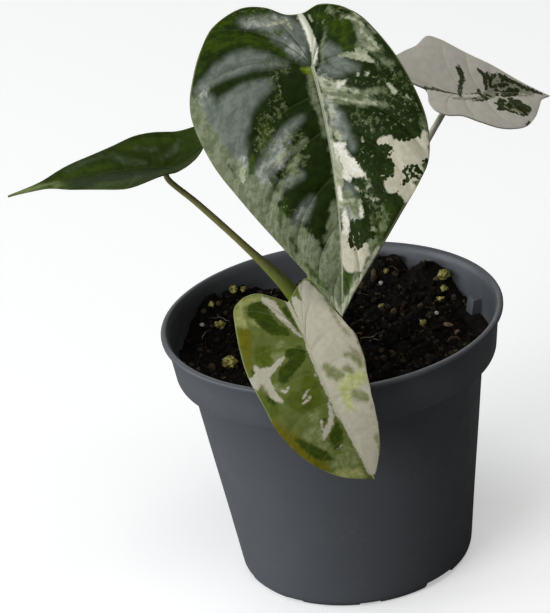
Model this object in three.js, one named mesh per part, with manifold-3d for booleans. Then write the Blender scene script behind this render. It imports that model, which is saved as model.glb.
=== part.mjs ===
// A young variegated alocasia with four leaves, in a round nursery pot.
// Units are millimetres, +Z is up and the front of the pot faces -Y.

import * as THREE from 'three';
import { mergeVertices } from 'three/addons/utils/BufferGeometryUtils.js';
import Module from 'manifold-3d';

const wasm = await Module();
wasm.setup();

// ---- Driving dimensions ----

const CLEARANCE = 0.3; // gap between two pieces that touch
const BLADE_THICKNESS = 0.8;
const FACETS = 64; // steps round the pot and the soil

const pot = {
  height: 95,
  rimRadius: 60,
  rimBead: 1.5, // height of the outward lip
  rimInnerRadius: 58,
  collarTopRadius: 58.3,
  collarFootRadius: 56.5,
  shoulder: 78.7, // height of the step below the collar
  bodyTopRadius: 51.9,
  bodyFootRadius: 41.9,
  corner: 4.2, // height of the rounded foot
  footRadius: 40.3,
  floor: 2.6, // height of the raised base plate
  wall: 1.3,
};

const drain = { count: 9, radius: 3.5, ring: 31 };
const footGap = { first: 43, step: 40, wide: [20, 2.4], narrow: [10.5, 1.0] }; // degrees, depth
const lug = { first: 19.6, count: 3, foot: 51.5, top: 53, height: 5.9, width: 5 };

const crown = { x: -4, y: 10, sheathTop: 90, seat: 77.8 };
const corm = { foot: 58, radius: 7.5, tipRadius: 1, tip: 92 };

// Mounds and hollows of the potting soil: x, y, height and spread.
const soilLevel = 82.5;
const soilForms = [
  [22, 51, 9.5, 8],
  [40, 42, 9, 9],
  [30, 47, -5.5, 3],
  [-43, 33, 7.5, 10],
  [-31, 46, 3.5, 6],
  [52, 10, -7.5, 8],
];

// Each blade is drawn flat: x across it, y along the midrib from the petiole's junction.
// An outline runs from the notch between the lobes, round one lobe, to the tip.
// veinRoots are the distances along the midrib where the side veins leave it, and a
// side's reach says at which outline point each of them ends.
const blades = {
  centre: {
    junction: [3.4, -6, 188.2],
    heading: -92.8,
    pitch: -52.3,
    roll: -14,
    length: 84.2,
    notch: [-3.1, -19.2],
    sway: 3.9,
    droop: 0.15,
    lobeDroop: 0.2,
    cup: -0.4,
    puff: 1.5,
    wave: [0.5, 0.6],
    rows: 4,
    columns: 8,
    veinRoots: [0, 0, 0, 0, 10, 22, 38, 54, 69, 84.2],
    low: {
      fold: [13, 10],
      outline: [[-3.1, -19.2], [-8.2, -19.5], [-15.5, -23], [-24, -23.6], [-33.3, -18.6], [-38, -11],
        [-40.8, -4], [-43.4, 6], [-42.6, 15], [-37, 29], [-27.7, 43.2], [-16.6, 58.8], [-6.7, 73.3],
        [0, 84.2]],
      reach: [0, 2.1, 4.2, 6.9, 9.6, 10.6, 11.4, 12.1, 12.7, 13],
    },
    high: {
      fold: [13, 10],
      outline: [[-3.1, -19.2], [-0.6, -19.5], [4, -20.8], [9.5, -19.6], [14.7, -16.8], [20.9, -11.3],
        [29.3, 1.2], [34.7, 13.6], [37.6, 25], [37, 36.5], [33, 44.6], [22.8, 57], [10.3, 71.4],
        [3.6, 79.7], [0, 84.2]],
      reach: [0, 2.2, 4, 6.4, 9.1, 10.3, 11.4, 12.3, 13.2, 14],
    },
  },
  left: {
    junction: [-50.7, 6, 153.3],
    heading: -165.8,
    pitch: 10.9,
    roll: 9,
    length: 55,
    notch: [-3.5, -12.5],
    sway: 0,
    droop: 0.35,
    lobeDroop: -3.2,
    cup: -0.3,
    puff: 0.8,
    wave: [0.4, 0.4],
    rows: 3,
    columns: 7,
    veinRoots: [0, 0, 0, 5, 14, 25, 38, 55],
    low: {
      fold: [20, 10],
      outline: [[-3.5, -12.5], [-5, -17.5], [-9.5, -20.5], [-13.5, -17], [-16, -9.4], [-17.5, -2],
        [-16.6, 7.2], [-13.2, 16.1], [-9, 26.6], [-5.8, 34.9], [-2.6, 42.5], [-0.8, 49], [0, 55]],
      reach: [0, 2, 3.7, 6, 7.4, 8.7, 10, 12],
    },
    high: {
      fold: [27, 10],
      outline: [[-3.5, -12.5], [-0.5, -16.5], [4, -17], [8, -12], [11.8, -4.5], [16.2, 3.5],
        [20.5, 11], [22.3, 18.5], [18.8, 26], [11.2, 34], [3.4, 41], [1.4, 47.8], [0, 55]],
      reach: [0, 2, 3.6, 5.6, 7, 8.2, 9.4, 12],
    },
  },
  right: {
    junction: [51.5, 28, 159.5],
    heading: 27.8,
    pitch: -13,
    roll: -42,
    length: 43.3,
    notch: [3.2, -10.5],
    sway: 0,
    droop: 0.3,
    lobeDroop: 0.3,
    cup: -0.5,
    puff: 0.5,
    wave: [0.4, 0.5],
    rows: 3,
    columns: 7,
    veinRoots: [0, 0, 0, 4, 11, 20, 31, 43.3],
    low: {
      fold: [26, 12],
      outline: [[3.2, -10.5], [-1, -12.2], [-5, -13.9], [-9.3, -13.6], [-12.6, -10.2], [-13, -4.5],
        [-15.6, 1.3], [-17.8, 8], [-18, 15], [-16.6, 21.8], [-12, 28.3], [-6.5, 33.8], [-2.2, 38],
        [0, 43.3]],
      reach: [0, 2.2, 4, 6, 8, 9.6, 11, 13],
    },
    high: {
      fold: [16, 10],
      outline: [[3.2, -10.5], [6, -15.8], [10.3, -22], [15, -21.3], [17.6, -16], [19.2, -10.5],
        [22.3, -5.5], [21.2, -1], [17.6, 6.4], [13.3, 13.6], [8.9, 22], [3.8, 33], [0, 43.3]],
      reach: [0, 2.3, 4.4, 7.2, 8.4, 9.6, 10.7, 12],
    },
  },
  front: {
    junction: [-9, -48, 108.8],
    heading: -75.6,
    pitch: -31.9,
    roll: -30,
    length: 52.6,
    notch: [-1.2, -15.6],
    sway: 0,
    droop: 0.8,
    lobeDroop: -0.5,
    cup: -0.4,
    puff: 0.5,
    wave: [0.3, 0.7],
    rows: 3,
    columns: 7,
    veinRoots: [0, 0, 0, 5, 13, 24, 37, 52.6],
    low: {
      fold: [10, 8],
      outline: [[-1.2, -15.6], [-5, -19.5], [-9.5, -23.3], [-14.5, -24.3], [-19, -22.2], [-20.8, -16.5],
        [-22.3, -8], [-23, 2], [-21.9, 14], [-20.8, 25], [-16.5, 37], [-9.5, 46.3], [0, 52.6]],
      reach: [0, 2.4, 4.2, 6.6, 8.2, 9.3, 10.4, 12],
    },
    high: {
      fold: [10, 8],
      outline: [[-1.2, -15.6], [2.4, -17.6], [7.5, -19.9], [10.3, -16.2], [12, -9.5], [14.6, 0.8],
        [16.6, 8], [15.9, 16], [13.9, 25], [11.3, 34.5], [7.5, 43.4], [4, 48], [0, 52.6]],
      reach: [0, 1.9, 3.4, 5.4, 7, 8.3, 9.5, 12],
    },
  },
};

// Petioles: where each foot stands round the crown, the points between that it bends
// through, and its radius at the foot, above the sheath, halfway and at the blade.
const petioles = {
  centre: { foot: [0, 4.2], via: [[-4.5, 13.5, 112], [-1, 9, 150]], radii: [2.6, 2.4, 1.8, 1.6, 1.4] },
  left: {
    foot: [-4.4, 0],
    via: [[-13.5, 10, 101], [-27.2, 8.5, 120.2], [-41.7, 7, 139]],
    radii: [2.9, 2.8, 1.4, 1.15, 1],
  },
  right: { foot: [4.2, 0], via: [[14, 15, 110], [42.6, 26, 148]], radii: [2.6, 2.2, 1.5, 1.25, 1.05] },
  front: { foot: [0, -4.2], via: [[-5, -16, 103]], radii: [2.6, 2.1, 1.6, 1.4, 1.3] },
};

// Loose bits on the soil: x, y and the three half sizes.
const bits = {
  feed_lump: [
    [-37, -7.4, 3.3, 2.6, 2.2],
    [-39.9, 19.7, 2.1, 1.6, 1.4],
    [-34.3, 41, 1.8, 1.6, 1.5],
    [-30.8, 41.5, 1.2, 1.2, 1.1],
    [-42.3, 29.2, 1.2, 1.3, 1],
    [42, 33.2, 2.4, 2.1, 1.9],
    [41.4, 28.4, 1.4, 1.4, 1.1],
    [39.6, 24.6, 1.4, 1.3, 1.1],
    [21.7, 42, 1.1, 1.1, 1],
    [18.1, 23.8, 1.1, 1.1, 1],
    [31.8, 8.4, 1.3, 1.2, 1],
  ],
  bark_chip: [
    [40.6, 8.4, 2.2, 1.1, 0.8],
    [43.4, 3.6, 2.1, 1.1, 0.8],
  ],
  perlite: [
    [-46.3, 20.4, 0.9, 0.9, 0.8],
    [19.2, 38.4, 0.8, 0.8, 0.8],
    [37.4, 17.4, 0.9, 0.8, 0.8],
  ],
};

const colours = {
  pot: 0x3d4145,
  soil: 0x1d1510,
  corm: 0x5a4630,
  petiole: { centre: 0x8c9a52, left: 0x7d8640, right: 0xc9cba8, front: 0xb9c08a },
  blade: { centre: 0x4a6b45, left: 0x35552b, right: 0xd9d7c4, front: 0x7c9550 },
  feed_lump: 0xa9a13e,
  bark_chip: 0x9a8a68,
  perlite: 0xe4e2da,
};

// ---- Shared helpers ----

const radians = THREE.MathUtils.degToRad;
const lerp = THREE.MathUtils.lerp;

// Joins corners that coincide and drops the triangles that collapse to a line.
function weld(geometry) {
  const bare = geometry.clone();
  bare.deleteAttribute('normal');
  bare.deleteAttribute('uv');
  const welded = mergeVertices(bare, 1e-4);
  const kept = [];
  for (let i = 0; i < welded.index.count; i += 3) {
    const [a, b, c] = [0, 1, 2].map((k) => welded.index.getX(i + k));
    if (a !== b && b !== c && c !== a) kept.push(a, b, c);
  }
  welded.setIndex(kept);
  return welded;
}

function toSolid(geometry) {
  const welded = weld(geometry);
  return new wasm.Manifold(new wasm.Mesh({
    numProp: 3,
    vertProperties: new Float32Array(welded.attributes.position.array),
    triVerts: new Uint32Array(welded.index.array),
  }));
}

function toGeometry(solid) {
  const { vertProperties, triVerts } = solid.getMesh();
  const geometry = new THREE.BufferGeometry();
  geometry.setAttribute('position', new THREE.BufferAttribute(vertProperties, 3));
  geometry.setIndex(new THREE.BufferAttribute(triVerts, 1));
  return geometry;
}

// A body of revolution about Z from [radius, height] pairs that run up the outside.
function turned(profile, facets = FACETS) {
  const points = profile.map(([radius, height]) => new THREE.Vector2(radius, height));
  return new THREE.LatheGeometry(points, facets).rotateX(Math.PI / 2);
}

// A repeatable random number between 0 and 1.
function seeded(seed) {
  let state = seed;
  return () => {
    state = (state * 1664525 + 1013904223) % 4294967296;
    return state / 4294967296;
  };
}

const group = new THREE.Group();

function addPiece(name, geometry, color, roughness = 0.6) {
  const welded = weld(geometry);
  welded.computeVertexNormals();
  const mesh = new THREE.Mesh(welded, new THREE.MeshStandardMaterial({ color, roughness, metalness: 0 }));
  mesh.name = name;
  group.add(mesh);
}

// ---- Pot ----

// Inner radius of the pot's wall at a height above its floor.
function innerRadius(z) {
  const { bodyFootRadius, bodyTopRadius, collarFootRadius, collarTopRadius, corner, shoulder, wall } = pot;
  if (z < shoulder + wall) {
    return lerp(bodyFootRadius, bodyTopRadius, (z - corner) / (shoulder - corner)) - wall;
  }
  const top = pot.height - pot.rimBead;
  return lerp(collarFootRadius, collarTopRadius, (z - shoulder) / (top - shoulder)) - wall;
}

// Triangular stacking lugs on the ledge inside the shoulder, grown by a margin.
function stackingLugs(margin) {
  const ledge = pot.shoulder + pot.wall;
  const wallTop = innerRadius(ledge + lug.height);
  const outline = new THREE.Shape([
    new THREE.Vector2(lug.foot - margin, ledge - 0.5),
    new THREE.Vector2(wallTop + 0.5, ledge - 0.5),
    new THREE.Vector2(wallTop + 0.5, ledge + lug.height + margin),
    new THREE.Vector2(lug.top - margin, ledge + lug.height + margin),
  ]);
  const width = lug.width + 2 * margin;
  const single = new THREE.ExtrudeGeometry(outline, { depth: width, bevelEnabled: false });
  single.translate(0, 0, -width / 2).rotateX(Math.PI / 2);
  const around = [];
  for (let i = 0; i < lug.count; i += 1) {
    around.push(single.clone().rotateZ(radians(lug.first) + (i * 2 * Math.PI) / lug.count));
  }
  return around.map(toSolid);
}

function makePot() {
  const rimFoot = pot.height - pot.rimBead;
  const ledge = pot.shoulder + pot.wall;
  const plate = pot.floor + pot.wall;
  let body = toSolid(turned([
    [0, pot.floor],
    [pot.footRadius - pot.wall, pot.floor],
    [pot.footRadius - pot.wall, 0],
    [pot.footRadius, 0],
    [pot.footRadius + 0.9, pot.corner * 0.3],
    [pot.bodyFootRadius, pot.corner],
    [pot.bodyTopRadius, pot.shoulder],
    [pot.collarFootRadius, pot.shoulder],
    [pot.collarTopRadius, rimFoot],
    [pot.rimRadius - 0.3, rimFoot],
    [pot.rimRadius, rimFoot + 0.4],
    [pot.rimRadius, pot.height - 0.5],
    [pot.rimRadius - 0.5, pot.height],
    [pot.rimInnerRadius, pot.height],
    [innerRadius(rimFoot), rimFoot - 0.6],
    [innerRadius(ledge), ledge],
    [innerRadius(ledge - 0.01), ledge],
    [innerRadius(plate + 1.5), plate + 1.5],
    [innerRadius(plate) - 1.3, plate],
    [0, plate],
  ]));
  for (const single of stackingLugs(0)) body = body.add(single);

  for (let i = 0; i < drain.count; i += 1) {
    const angle = (i * 2 * Math.PI) / drain.count;
    const hole = new THREE.CylinderGeometry(drain.radius, drain.radius, 8, 16).rotateX(Math.PI / 2);
    hole.translate(drain.ring * Math.cos(angle), drain.ring * Math.sin(angle), pot.floor);
    body = body.subtract(toSolid(hole));
  }

  // Water gaps in the foot ring, every third one wide.
  for (let i = 0; i < drain.count; i += 1) {
    const [angle, depth] = i % 3 === 0 ? footGap.wide : footGap.narrow;
    const width = 2 * pot.footRadius * Math.tan(radians(angle / 2));
    const gap = new THREE.BoxGeometry(6, width, 2 * depth).translate(pot.footRadius, 0, 0);
    gap.rotateZ(radians(footGap.first + footGap.step * i - 90));
    body = body.subtract(toSolid(gap));
  }
  return toGeometry(body);
}

// ---- Soil and what lies on it ----

function soilHeight(x, y) {
  let height = soilLevel + 0.7 * Math.sin(0.37 * x + 1.3) * Math.cos(0.29 * y);
  height += 0.5 * Math.sin(0.71 * x + 0.53 * y);
  for (const [cx, cy, rise, spread] of soilForms) {
    const squared = (x - cx) ** 2 + (y - cy) ** 2;
    height += rise * Math.exp(-squared / (2 * spread ** 2));
  }
  return height;
}

// A round block whose top follows the soil's height, wider than the pot.
function soilBlock() {
  const rings = 11;
  const outer = pot.rimRadius;
  const disc = new THREE.RingGeometry(0, outer, FACETS, rings);
  const triangles = [];
  const corner = (i, top) => {
    const x = disc.attributes.position.getX(i);
    const y = disc.attributes.position.getY(i);
    return [x, y, top ? soilHeight(x, y) : 0];
  };
  for (let i = 0; i < disc.index.count; i += 3) {
    const [a, b, c] = [0, 1, 2].map((k) => disc.index.getX(i + k));
    triangles.push(corner(a, true), corner(b, true), corner(c, true));
    triangles.push(corner(c, false), corner(b, false), corner(a, false));
  }
  for (let i = 0; i < FACETS; i += 1) {
    const here = rings * (FACETS + 1) + i;
    const next = here + 1;
    triangles.push(corner(here, false), corner(next, false), corner(next, true));
    triangles.push(corner(here, false), corner(next, true), corner(here, true));
  }
  return fromTriangles(triangles);
}

function fromTriangles(corners) {
  const geometry = new THREE.BufferGeometry();
  geometry.setAttribute('position', new THREE.Float32BufferAttribute(corners.flat(), 3));
  return geometry;
}

// The space inside the pot that soil can fill.
function soilSpace() {
  const gap = CLEARANCE;
  const plate = pot.floor + pot.wall + gap;
  const ledge = pot.shoulder + pot.wall;
  return toSolid(turned([
    [0, plate],
    [innerRadius(plate) - 1.3 - gap, plate],
    [innerRadius(plate + 1.5) - gap, plate + 1.5],
    [innerRadius(ledge - 0.01) - gap, ledge + gap],
    [innerRadius(ledge) - gap, ledge + gap],
    [innerRadius(pot.height - 3) - gap, pot.height - 3],
    [0, pot.height - 3],
  ]));
}

// An angular lump with uneven faces.
function lump(x, y, z, rx, ry, rz, detail, turn) {
  const geometry = new THREE.IcosahedronGeometry(1, detail);
  geometry.rotateX(turn).rotateY(2 * turn).scale(rx, ry, rz).rotateZ(3 * turn).translate(x, y, z);
  return geometry;
}

function makeSoil() {
  let soil = toSolid(soilBlock());
  const random = seeded(7);
  const clods = 46;
  for (let i = 0; i < clods; i += 1) {
    const radius = 52 * Math.sqrt(random());
    const angle = 2 * Math.PI * random();
    const size = 1.5 + 2.6 * random() ** 2;
    const x = radius * Math.cos(angle);
    const y = radius * Math.sin(angle);
    const z = soilHeight(x, y) + 0.1 * size;
    const flat = 0.6 + 0.4 * random();
    soil = soil.add(toSolid(lump(x, y, z, size, size * flat, size * flat, 0, 6 * random())));
  }
  soil = soil.intersect(soilSpace());
  for (const single of stackingLugs(CLEARANCE)) soil = soil.subtract(single);

  const well = corm.radius + CLEARANCE;
  const hole = turned([[0, corm.foot - CLEARANCE], [well, corm.foot - CLEARANCE], [well, 99], [0, 99]], 32);
  soil = soil.subtract(toSolid(hole.translate(crown.x, crown.y, 0)));
  for (const geometry of Object.values(bits).flat().map((bit) => bitGeometry(bit, CLEARANCE))) {
    soil = soil.subtract(toSolid(geometry));
  }
  const whole = soil.decompose().sort((a, b) => b.volume() - a.volume())[0];
  return toGeometry(whole);
}

// A loose bit sunk halfway into the soil, grown by a margin.
function bitGeometry([x, y, rx, ry, rz], margin) {
  const grow = margin * 1.15;
  const detail = rx > 1.5 ? 1 : 0;
  return lump(x, y, soilHeight(x, y) + 0.35 * rz, rx + grow, ry + grow, rz + grow, detail, x);
}

// ---- Stem, petioles and blades ----

function makeCorm() {
  const { foot, radius, tipRadius, tip } = corm;
  const seat = crown.seat - CLEARANCE;
  const profile = [[0, foot], [0.7 * radius, foot + 0.6], [0.96 * radius, foot + 4], [radius, foot + 9],
    [0.97 * radius, foot + 15], [0.9 * radius, seat], [tipRadius, seat], [tipRadius, tip - 5], [0, tip]];
  return turned(profile, 16).translate(crown.x, crown.y, 0);
}

// The blade's own directions at the junction: along the midrib, out of its upper face, across.
function bladeFrame({ heading, pitch, roll }) {
  const [h, p, r] = [heading, pitch, roll].map(radians);
  const along = new THREE.Vector3(Math.cos(p) * Math.cos(h), Math.cos(p) * Math.sin(h), Math.sin(p));
  const level = new THREE.Vector3(-Math.sin(p) * Math.cos(h), -Math.sin(p) * Math.sin(h), Math.cos(p));
  const aside = new THREE.Vector3().crossVectors(level, along);
  const up = level.multiplyScalar(Math.cos(r)).addScaledVector(aside, Math.sin(r));
  const across = new THREE.Vector3().crossVectors(up, along);
  return { along, up, across };
}

// Sideways place of the midrib at a distance along the blade.
function midribX(blade, y) {
  if (y < 0) return (y * blade.notch[0]) / blade.notch[1];
  const share = y / blade.length;
  return 4 * blade.sway * share * (1 - share);
}

// A flat point of the blade on its bent, folded and cupped middle surface.
function bladeSurface(blade, x, y) {
  const { along, up, across } = bladeFrame(blade);
  const bend = radians(y < 0 ? blade.lobeDroop : blade.droop);
  const lean = bend * y;
  const point = new THREE.Vector3(...blade.junction);
  point.addScaledVector(along, Math.sin(lean) / bend);
  point.addScaledVector(up, -(1 - Math.cos(lean)) / bend);

  const middle = midribX(blade, y);
  const width = Math.abs(x - middle);
  const side = x < middle ? blade.low : blade.high;
  const share = THREE.MathUtils.clamp((y + 10) / (blade.length + 10), 0, 1);
  const fold = radians(lerp(side.fold[0], side.fold[1], share));
  const curl = radians(blade.cup);
  const reach = (Math.sin(fold + curl * width) - Math.sin(fold)) / curl;
  const rise = (Math.cos(fold) - Math.cos(fold + curl * width)) / curl;
  const leaning = up.clone().multiplyScalar(Math.cos(lean)).addScaledVector(along, Math.sin(lean));
  point.addScaledVector(across, middle + (x < middle ? -reach : reach));
  return point.addScaledVector(leaning, rise);
}

function bladeNormal(blade, x, y) {
  const step = 0.5;
  const acrossEdge = bladeSurface(blade, x + step, y).sub(bladeSurface(blade, x - step, y));
  const alongEdge = bladeSurface(blade, x, y + step).sub(bladeSurface(blade, x, y - step));
  return alongEdge.cross(acrossEdge).normalize();
}

// Flat place of a point on vein line v, a share s of the way from the midrib to the margin.
function veinPoint(blade, side, sign, v, s) {
  const i = Math.min(Math.floor(v), blade.veinRoots.length - 2);
  const y = lerp(blade.veinRoots[i], blade.veinRoots[i + 1], v - i);
  const root = new THREE.Vector2(midribX(blade, y), y);
  const outline = new THREE.SplineCurve(side.outline.map(([a, b]) => new THREE.Vector2(a, b)));
  const stop = lerp(side.reach[i], side.reach[i + 1], v - i) / (side.outline.length - 1);
  const margin = outline.getPoint(stop);
  const chord = margin.clone().sub(root);
  const bow = 0.13 * THREE.MathUtils.smoothstep(v, 0, 2.5);
  const middle = root.clone().addScaledVector(chord, 0.5);
  middle.add(new THREE.Vector2(chord.y, -chord.x).multiplyScalar(2 * bow * sign));
  return new THREE.QuadraticBezierCurve(root, middle, margin).getPoint(s);
}

// Height of the quilted relief above the smooth blade: pads between veins, waved margin.
function bladeRelief(blade, sign, v, s) {
  const between = v - Math.floor(v);
  const pad = (4 * between * (1 - between)) ** 0.6 * Math.sqrt(4 * s * (1 - s));
  const last = blade.veinRoots.length - 1;
  const swell = Math.sin((Math.PI * v) / last);
  const wave = blade.wave[sign < 0 ? 0 : 1] * Math.sin(2.6 * v + 1) * s ** 3;
  return swell * (blade.puff * pad + wave);
}

// Depth of the midrib below the blade's underside.
function ribDepth(blade, x, y) {
  const width = Math.abs(x - midribX(blade, y));
  const taper = THREE.MathUtils.clamp(1 - Math.abs(y) / blade.length, 0, 1);
  return 0.9 * taper * Math.exp(-((width / 1.8) ** 2));
}

// Upper and lower corner of a blade at vein line v and share s.
function bladeCorner(blade, sign, v, s) {
  const side = sign < 0 ? blade.low : blade.high;
  const flat = veinPoint(blade, side, sign, v, s);
  const normal = bladeNormal(blade, flat.x, flat.y);
  const middle = bladeSurface(blade, flat.x, flat.y);
  middle.addScaledVector(normal, bladeRelief(blade, sign, v, s));
  const upper = middle.clone().addScaledVector(normal, BLADE_THICKNESS / 2);
  const depth = BLADE_THICKNESS / 2 + ribDepth(blade, flat.x, flat.y);
  const lower = middle.addScaledVector(normal, -depth);
  return { upper: upper.toArray(), lower: lower.toArray() };
}

function makeBlade(blade) {
  const lines = (blade.veinRoots.length - 1) * blade.rows;
  const corners = [];
  for (const sign of [-1, 1]) {
    const grid = [];
    for (let r = 0; r <= lines; r += 1) {
      const line = [];
      for (let c = 0; c <= blade.columns; c += 1) {
        line.push(bladeCorner(blade, sign, r / blade.rows, (c / blade.columns) ** 1.25));
      }
      grid.push(line);
    }
    // Two alike triangles on the upper and the lower face of each cell.
    const triangle = (a, b, c) => corners.push(...(sign > 0 ? [a, b, c] : [a, c, b]));
    for (let r = 0; r < lines; r += 1) {
      for (let c = 0; c < blade.columns; c += 1) {
        const [p, q, t, u] = [grid[r][c], grid[r + 1][c], grid[r + 1][c + 1], grid[r][c + 1]];
        triangle(p.upper, q.upper, t.upper);
        triangle(p.upper, t.upper, u.upper);
        triangle(t.lower, q.lower, p.lower);
        triangle(u.lower, t.lower, p.lower);
      }
      const [here, next] = [grid[r][blade.columns], grid[r + 1][blade.columns]];
      triangle(here.upper, next.upper, next.lower);
      triangle(here.upper, next.lower, here.lower);
    }
  }
  return fromTriangles(corners);
}

// A closed round stem along a smooth path, with a radius that changes along it.
function makeStem(points, radii, steps, sides) {
  const path = new THREE.CatmullRomCurve3(points.map((p) => new THREE.Vector3(...p)), false, 'centripetal');
  const frames = path.computeFrenetFrames(steps, false);
  const girth = new THREE.SplineCurve(radii.map((radius, i) => new THREE.Vector2(i, radius)));
  const rings = [];
  for (let i = 0; i <= steps; i += 1) {
    const centre = path.getPointAt(i / steps);
    const radius = girth.getPoint(i / steps).y;
    const ring = [];
    for (let k = 0; k < sides; k += 1) {
      const angle = (k * 2 * Math.PI) / sides;
      const corner = centre.clone().addScaledVector(frames.normals[i], radius * Math.cos(angle));
      ring.push(corner.addScaledVector(frames.binormals[i], radius * Math.sin(angle)).toArray());
    }
    rings.push(ring);
  }
  const corners = [];
  for (let k = 0; k < sides; k += 1) {
    const n = (k + 1) % sides;
    for (let i = 0; i < steps; i += 1) {
      corners.push(rings[i][k], rings[i][n], rings[i + 1][n]);
      corners.push(rings[i][k], rings[i + 1][n], rings[i + 1][k]);
    }
    if (k > 0 && n > 0) {
      corners.push(rings[0][0], rings[0][n], rings[0][k]);
      corners.push(rings[steps][0], rings[steps][k], rings[steps][n]);
    }
  }
  return fromTriangles(corners);
}

function makePetiole(blade, petiole) {
  const foot = [crown.x + petiole.foot[0], crown.y + petiole.foot[1]];
  const junction = new THREE.Vector3(...blade.junction);
  const down = bladeNormal(blade, 0, 0).negate();
  const depth = BLADE_THICKNESS / 2 + ribDepth(blade, 0, 0) + CLEARANCE;
  const end = junction.clone().addScaledVector(down, depth);
  const onward = new THREE.Vector3(...petiole.via.at(-1)).sub(end).normalize();
  const neck = end.clone().addScaledVector(down.add(onward).normalize(), 2.5);
  const sheath = [[...foot, crown.seat], [...foot, (crown.seat + crown.sheathTop) / 2],
    [...foot, crown.sheathTop]];
  const points = [...sheath, ...petiole.via, neck.toArray(), end.toArray()];
  return makeStem(points, petiole.radii, 22, 8);
}

// ---- Assembly ----

addPiece('pot', makePot(), colours.pot, 0.45);
addPiece('soil', makeSoil(), colours.soil, 0.95);
addPiece('corm', makeCorm(), colours.corm);
for (const [name, blade] of Object.entries(blades)) {
  addPiece(`petiole_${name}`, makePetiole(blade, petioles[name]), colours.petiole[name], 0.5);
  addPiece(`blade_${name}`, makeBlade(blade), colours.blade[name], 0.4);
}
for (const [kind, list] of Object.entries(bits)) {
  list.forEach((bit, i) => addPiece(`${kind}_${i + 1}`, bitGeometry(bit, 0), colours[kind], 0.9));
}

// The origin lies under the middle of the whole plant's outline, on the ground.
const extent = new THREE.Box3().setFromObject(group);
group.position.set(-(extent.min.x + extent.max.x) / 2, -(extent.min.y + extent.max.y) / 2, 0);

export default group;
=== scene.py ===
# A young variegated Alocasia frydek with four leaves, planted in peat in a round nursery pot.
# Everything below is built round the frame's nodes. Sizes are millimetres from the pot's axis
# and the ground, and go through placed() into the frame's metres.

import math
from contextlib import contextmanager

import bpy
import numpy as np
from mathutils import Matrix, Vector, noise


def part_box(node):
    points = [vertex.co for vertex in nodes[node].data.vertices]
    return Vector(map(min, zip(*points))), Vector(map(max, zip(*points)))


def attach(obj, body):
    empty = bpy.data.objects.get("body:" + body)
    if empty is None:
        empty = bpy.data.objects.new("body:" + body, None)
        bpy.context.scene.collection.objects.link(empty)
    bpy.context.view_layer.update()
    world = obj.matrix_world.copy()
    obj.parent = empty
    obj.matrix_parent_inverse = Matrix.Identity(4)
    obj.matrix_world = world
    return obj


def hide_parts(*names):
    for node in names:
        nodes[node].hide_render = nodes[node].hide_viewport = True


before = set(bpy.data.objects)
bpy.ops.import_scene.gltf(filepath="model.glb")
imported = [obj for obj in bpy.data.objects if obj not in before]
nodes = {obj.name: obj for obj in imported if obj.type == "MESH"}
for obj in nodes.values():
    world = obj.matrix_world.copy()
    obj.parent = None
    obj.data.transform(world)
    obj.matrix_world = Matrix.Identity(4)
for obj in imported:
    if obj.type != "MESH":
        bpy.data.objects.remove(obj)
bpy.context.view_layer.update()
bpy.ops.object.select_all(action="DESELECT")

pot_low, pot_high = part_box("pot")
pot_axis = Vector(((pot_low.x + pot_high.x) / 2, (pot_low.y + pot_high.y) / 2, 0.0))


# ---- Studio ----
# A pale floor in a dim room. A broad window light stands at the front left, a low one at the left
# side, a third hangs over the plant and a weak one stands behind it.

def placed(points):
    """Points in millimetres from the pot's axis, as metres in the frame."""
    return np.asarray(points, float) * 0.001 + np.array(pot_axis)


def tint(red, green, blue):
    """Display colour from 0 to 255 as a linear colour."""
    shares = [channel / 255 for channel in (red, green, blue)]
    linear = [s / 12.92 if s <= 0.04045 else ((s + 0.055) / 1.055) ** 2.4 for s in shares]
    return (*linear, 1.0)


def new_material(name):
    """A node material with a Principled surface, and its node tree and shader."""
    material = bpy.data.materials.new(name)
    material.use_nodes = True
    tree = material.node_tree
    return material, tree, tree.nodes["Principled BSDF"]


aim = Vector((0.0, 0.0, 0.13))


def soft_light(name, direction, distance, side, radiance, colour):
    """A square soft box that faces the plant."""
    data = bpy.data.lights.new(name, "AREA")
    data.shape = "SQUARE"
    data.size = side
    data.energy = radiance * math.pi * side ** 2
    data.color = colour
    light = bpy.data.objects.new(name, data)
    bpy.context.scene.collection.objects.link(light)
    light.location = aim + Vector(direction).normalized() * distance
    light.rotation_euler = (aim - light.location).to_track_quat("-Z", "Y").to_euler()


# The floor looks pale to the camera, but throws little light back onto the plant.
floor_material, floor_tree, floor_shader = new_material("pale_floor")
seen = floor_tree.nodes.new("ShaderNodeLightPath").outputs["Is Camera Ray"]
floor_tone = floor_tree.nodes.new("ShaderNodeMix")
floor_tone.data_type = "RGBA"
floor_tone.inputs[6].default_value = (0.2, 0.2, 0.2, 1)
floor_tone.inputs[7].default_value = (0.8, 0.8, 0.8, 1)
floor_tree.links.new(seen, floor_tone.inputs[0])
floor_tree.links.new(floor_tone.outputs[2], floor_shader.inputs["Base Color"])
floor_tree.links.new(seen, floor_shader.inputs["Emission Color"])
floor_shader.inputs["Emission Strength"].default_value = 0.42
floor_shader.inputs["Roughness"].default_value = 0.95
floor_shader.inputs["Specular IOR Level"].default_value = 0.0
floor_side, floor_drop = 30, 0.0002
bpy.ops.mesh.primitive_plane_add(size=floor_side, location=(0, 0, -floor_drop))
floor = bpy.context.active_object
floor.name = "floor"
floor.data.materials.append(floor_material)

soft_light("window_light", (-0.7, -0.6, 0.31), 2.5, 1.6, 4.9, (0.96, 0.98, 1.0))
soft_light("side_light", (-0.97, 0.15, 0.16), 2.0, 1.4, 4.6, (0.9, 0.95, 1.0))
soft_light("top_light", (0.0, -0.3, 1.0), 2.5, 1.6, 3.2, (1.0, 0.99, 0.96))
soft_light("rear_light", (-0.15, 1.0, 0.3), 2.5, 1.6, 0.9, (1.0, 1.0, 1.0))

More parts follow.
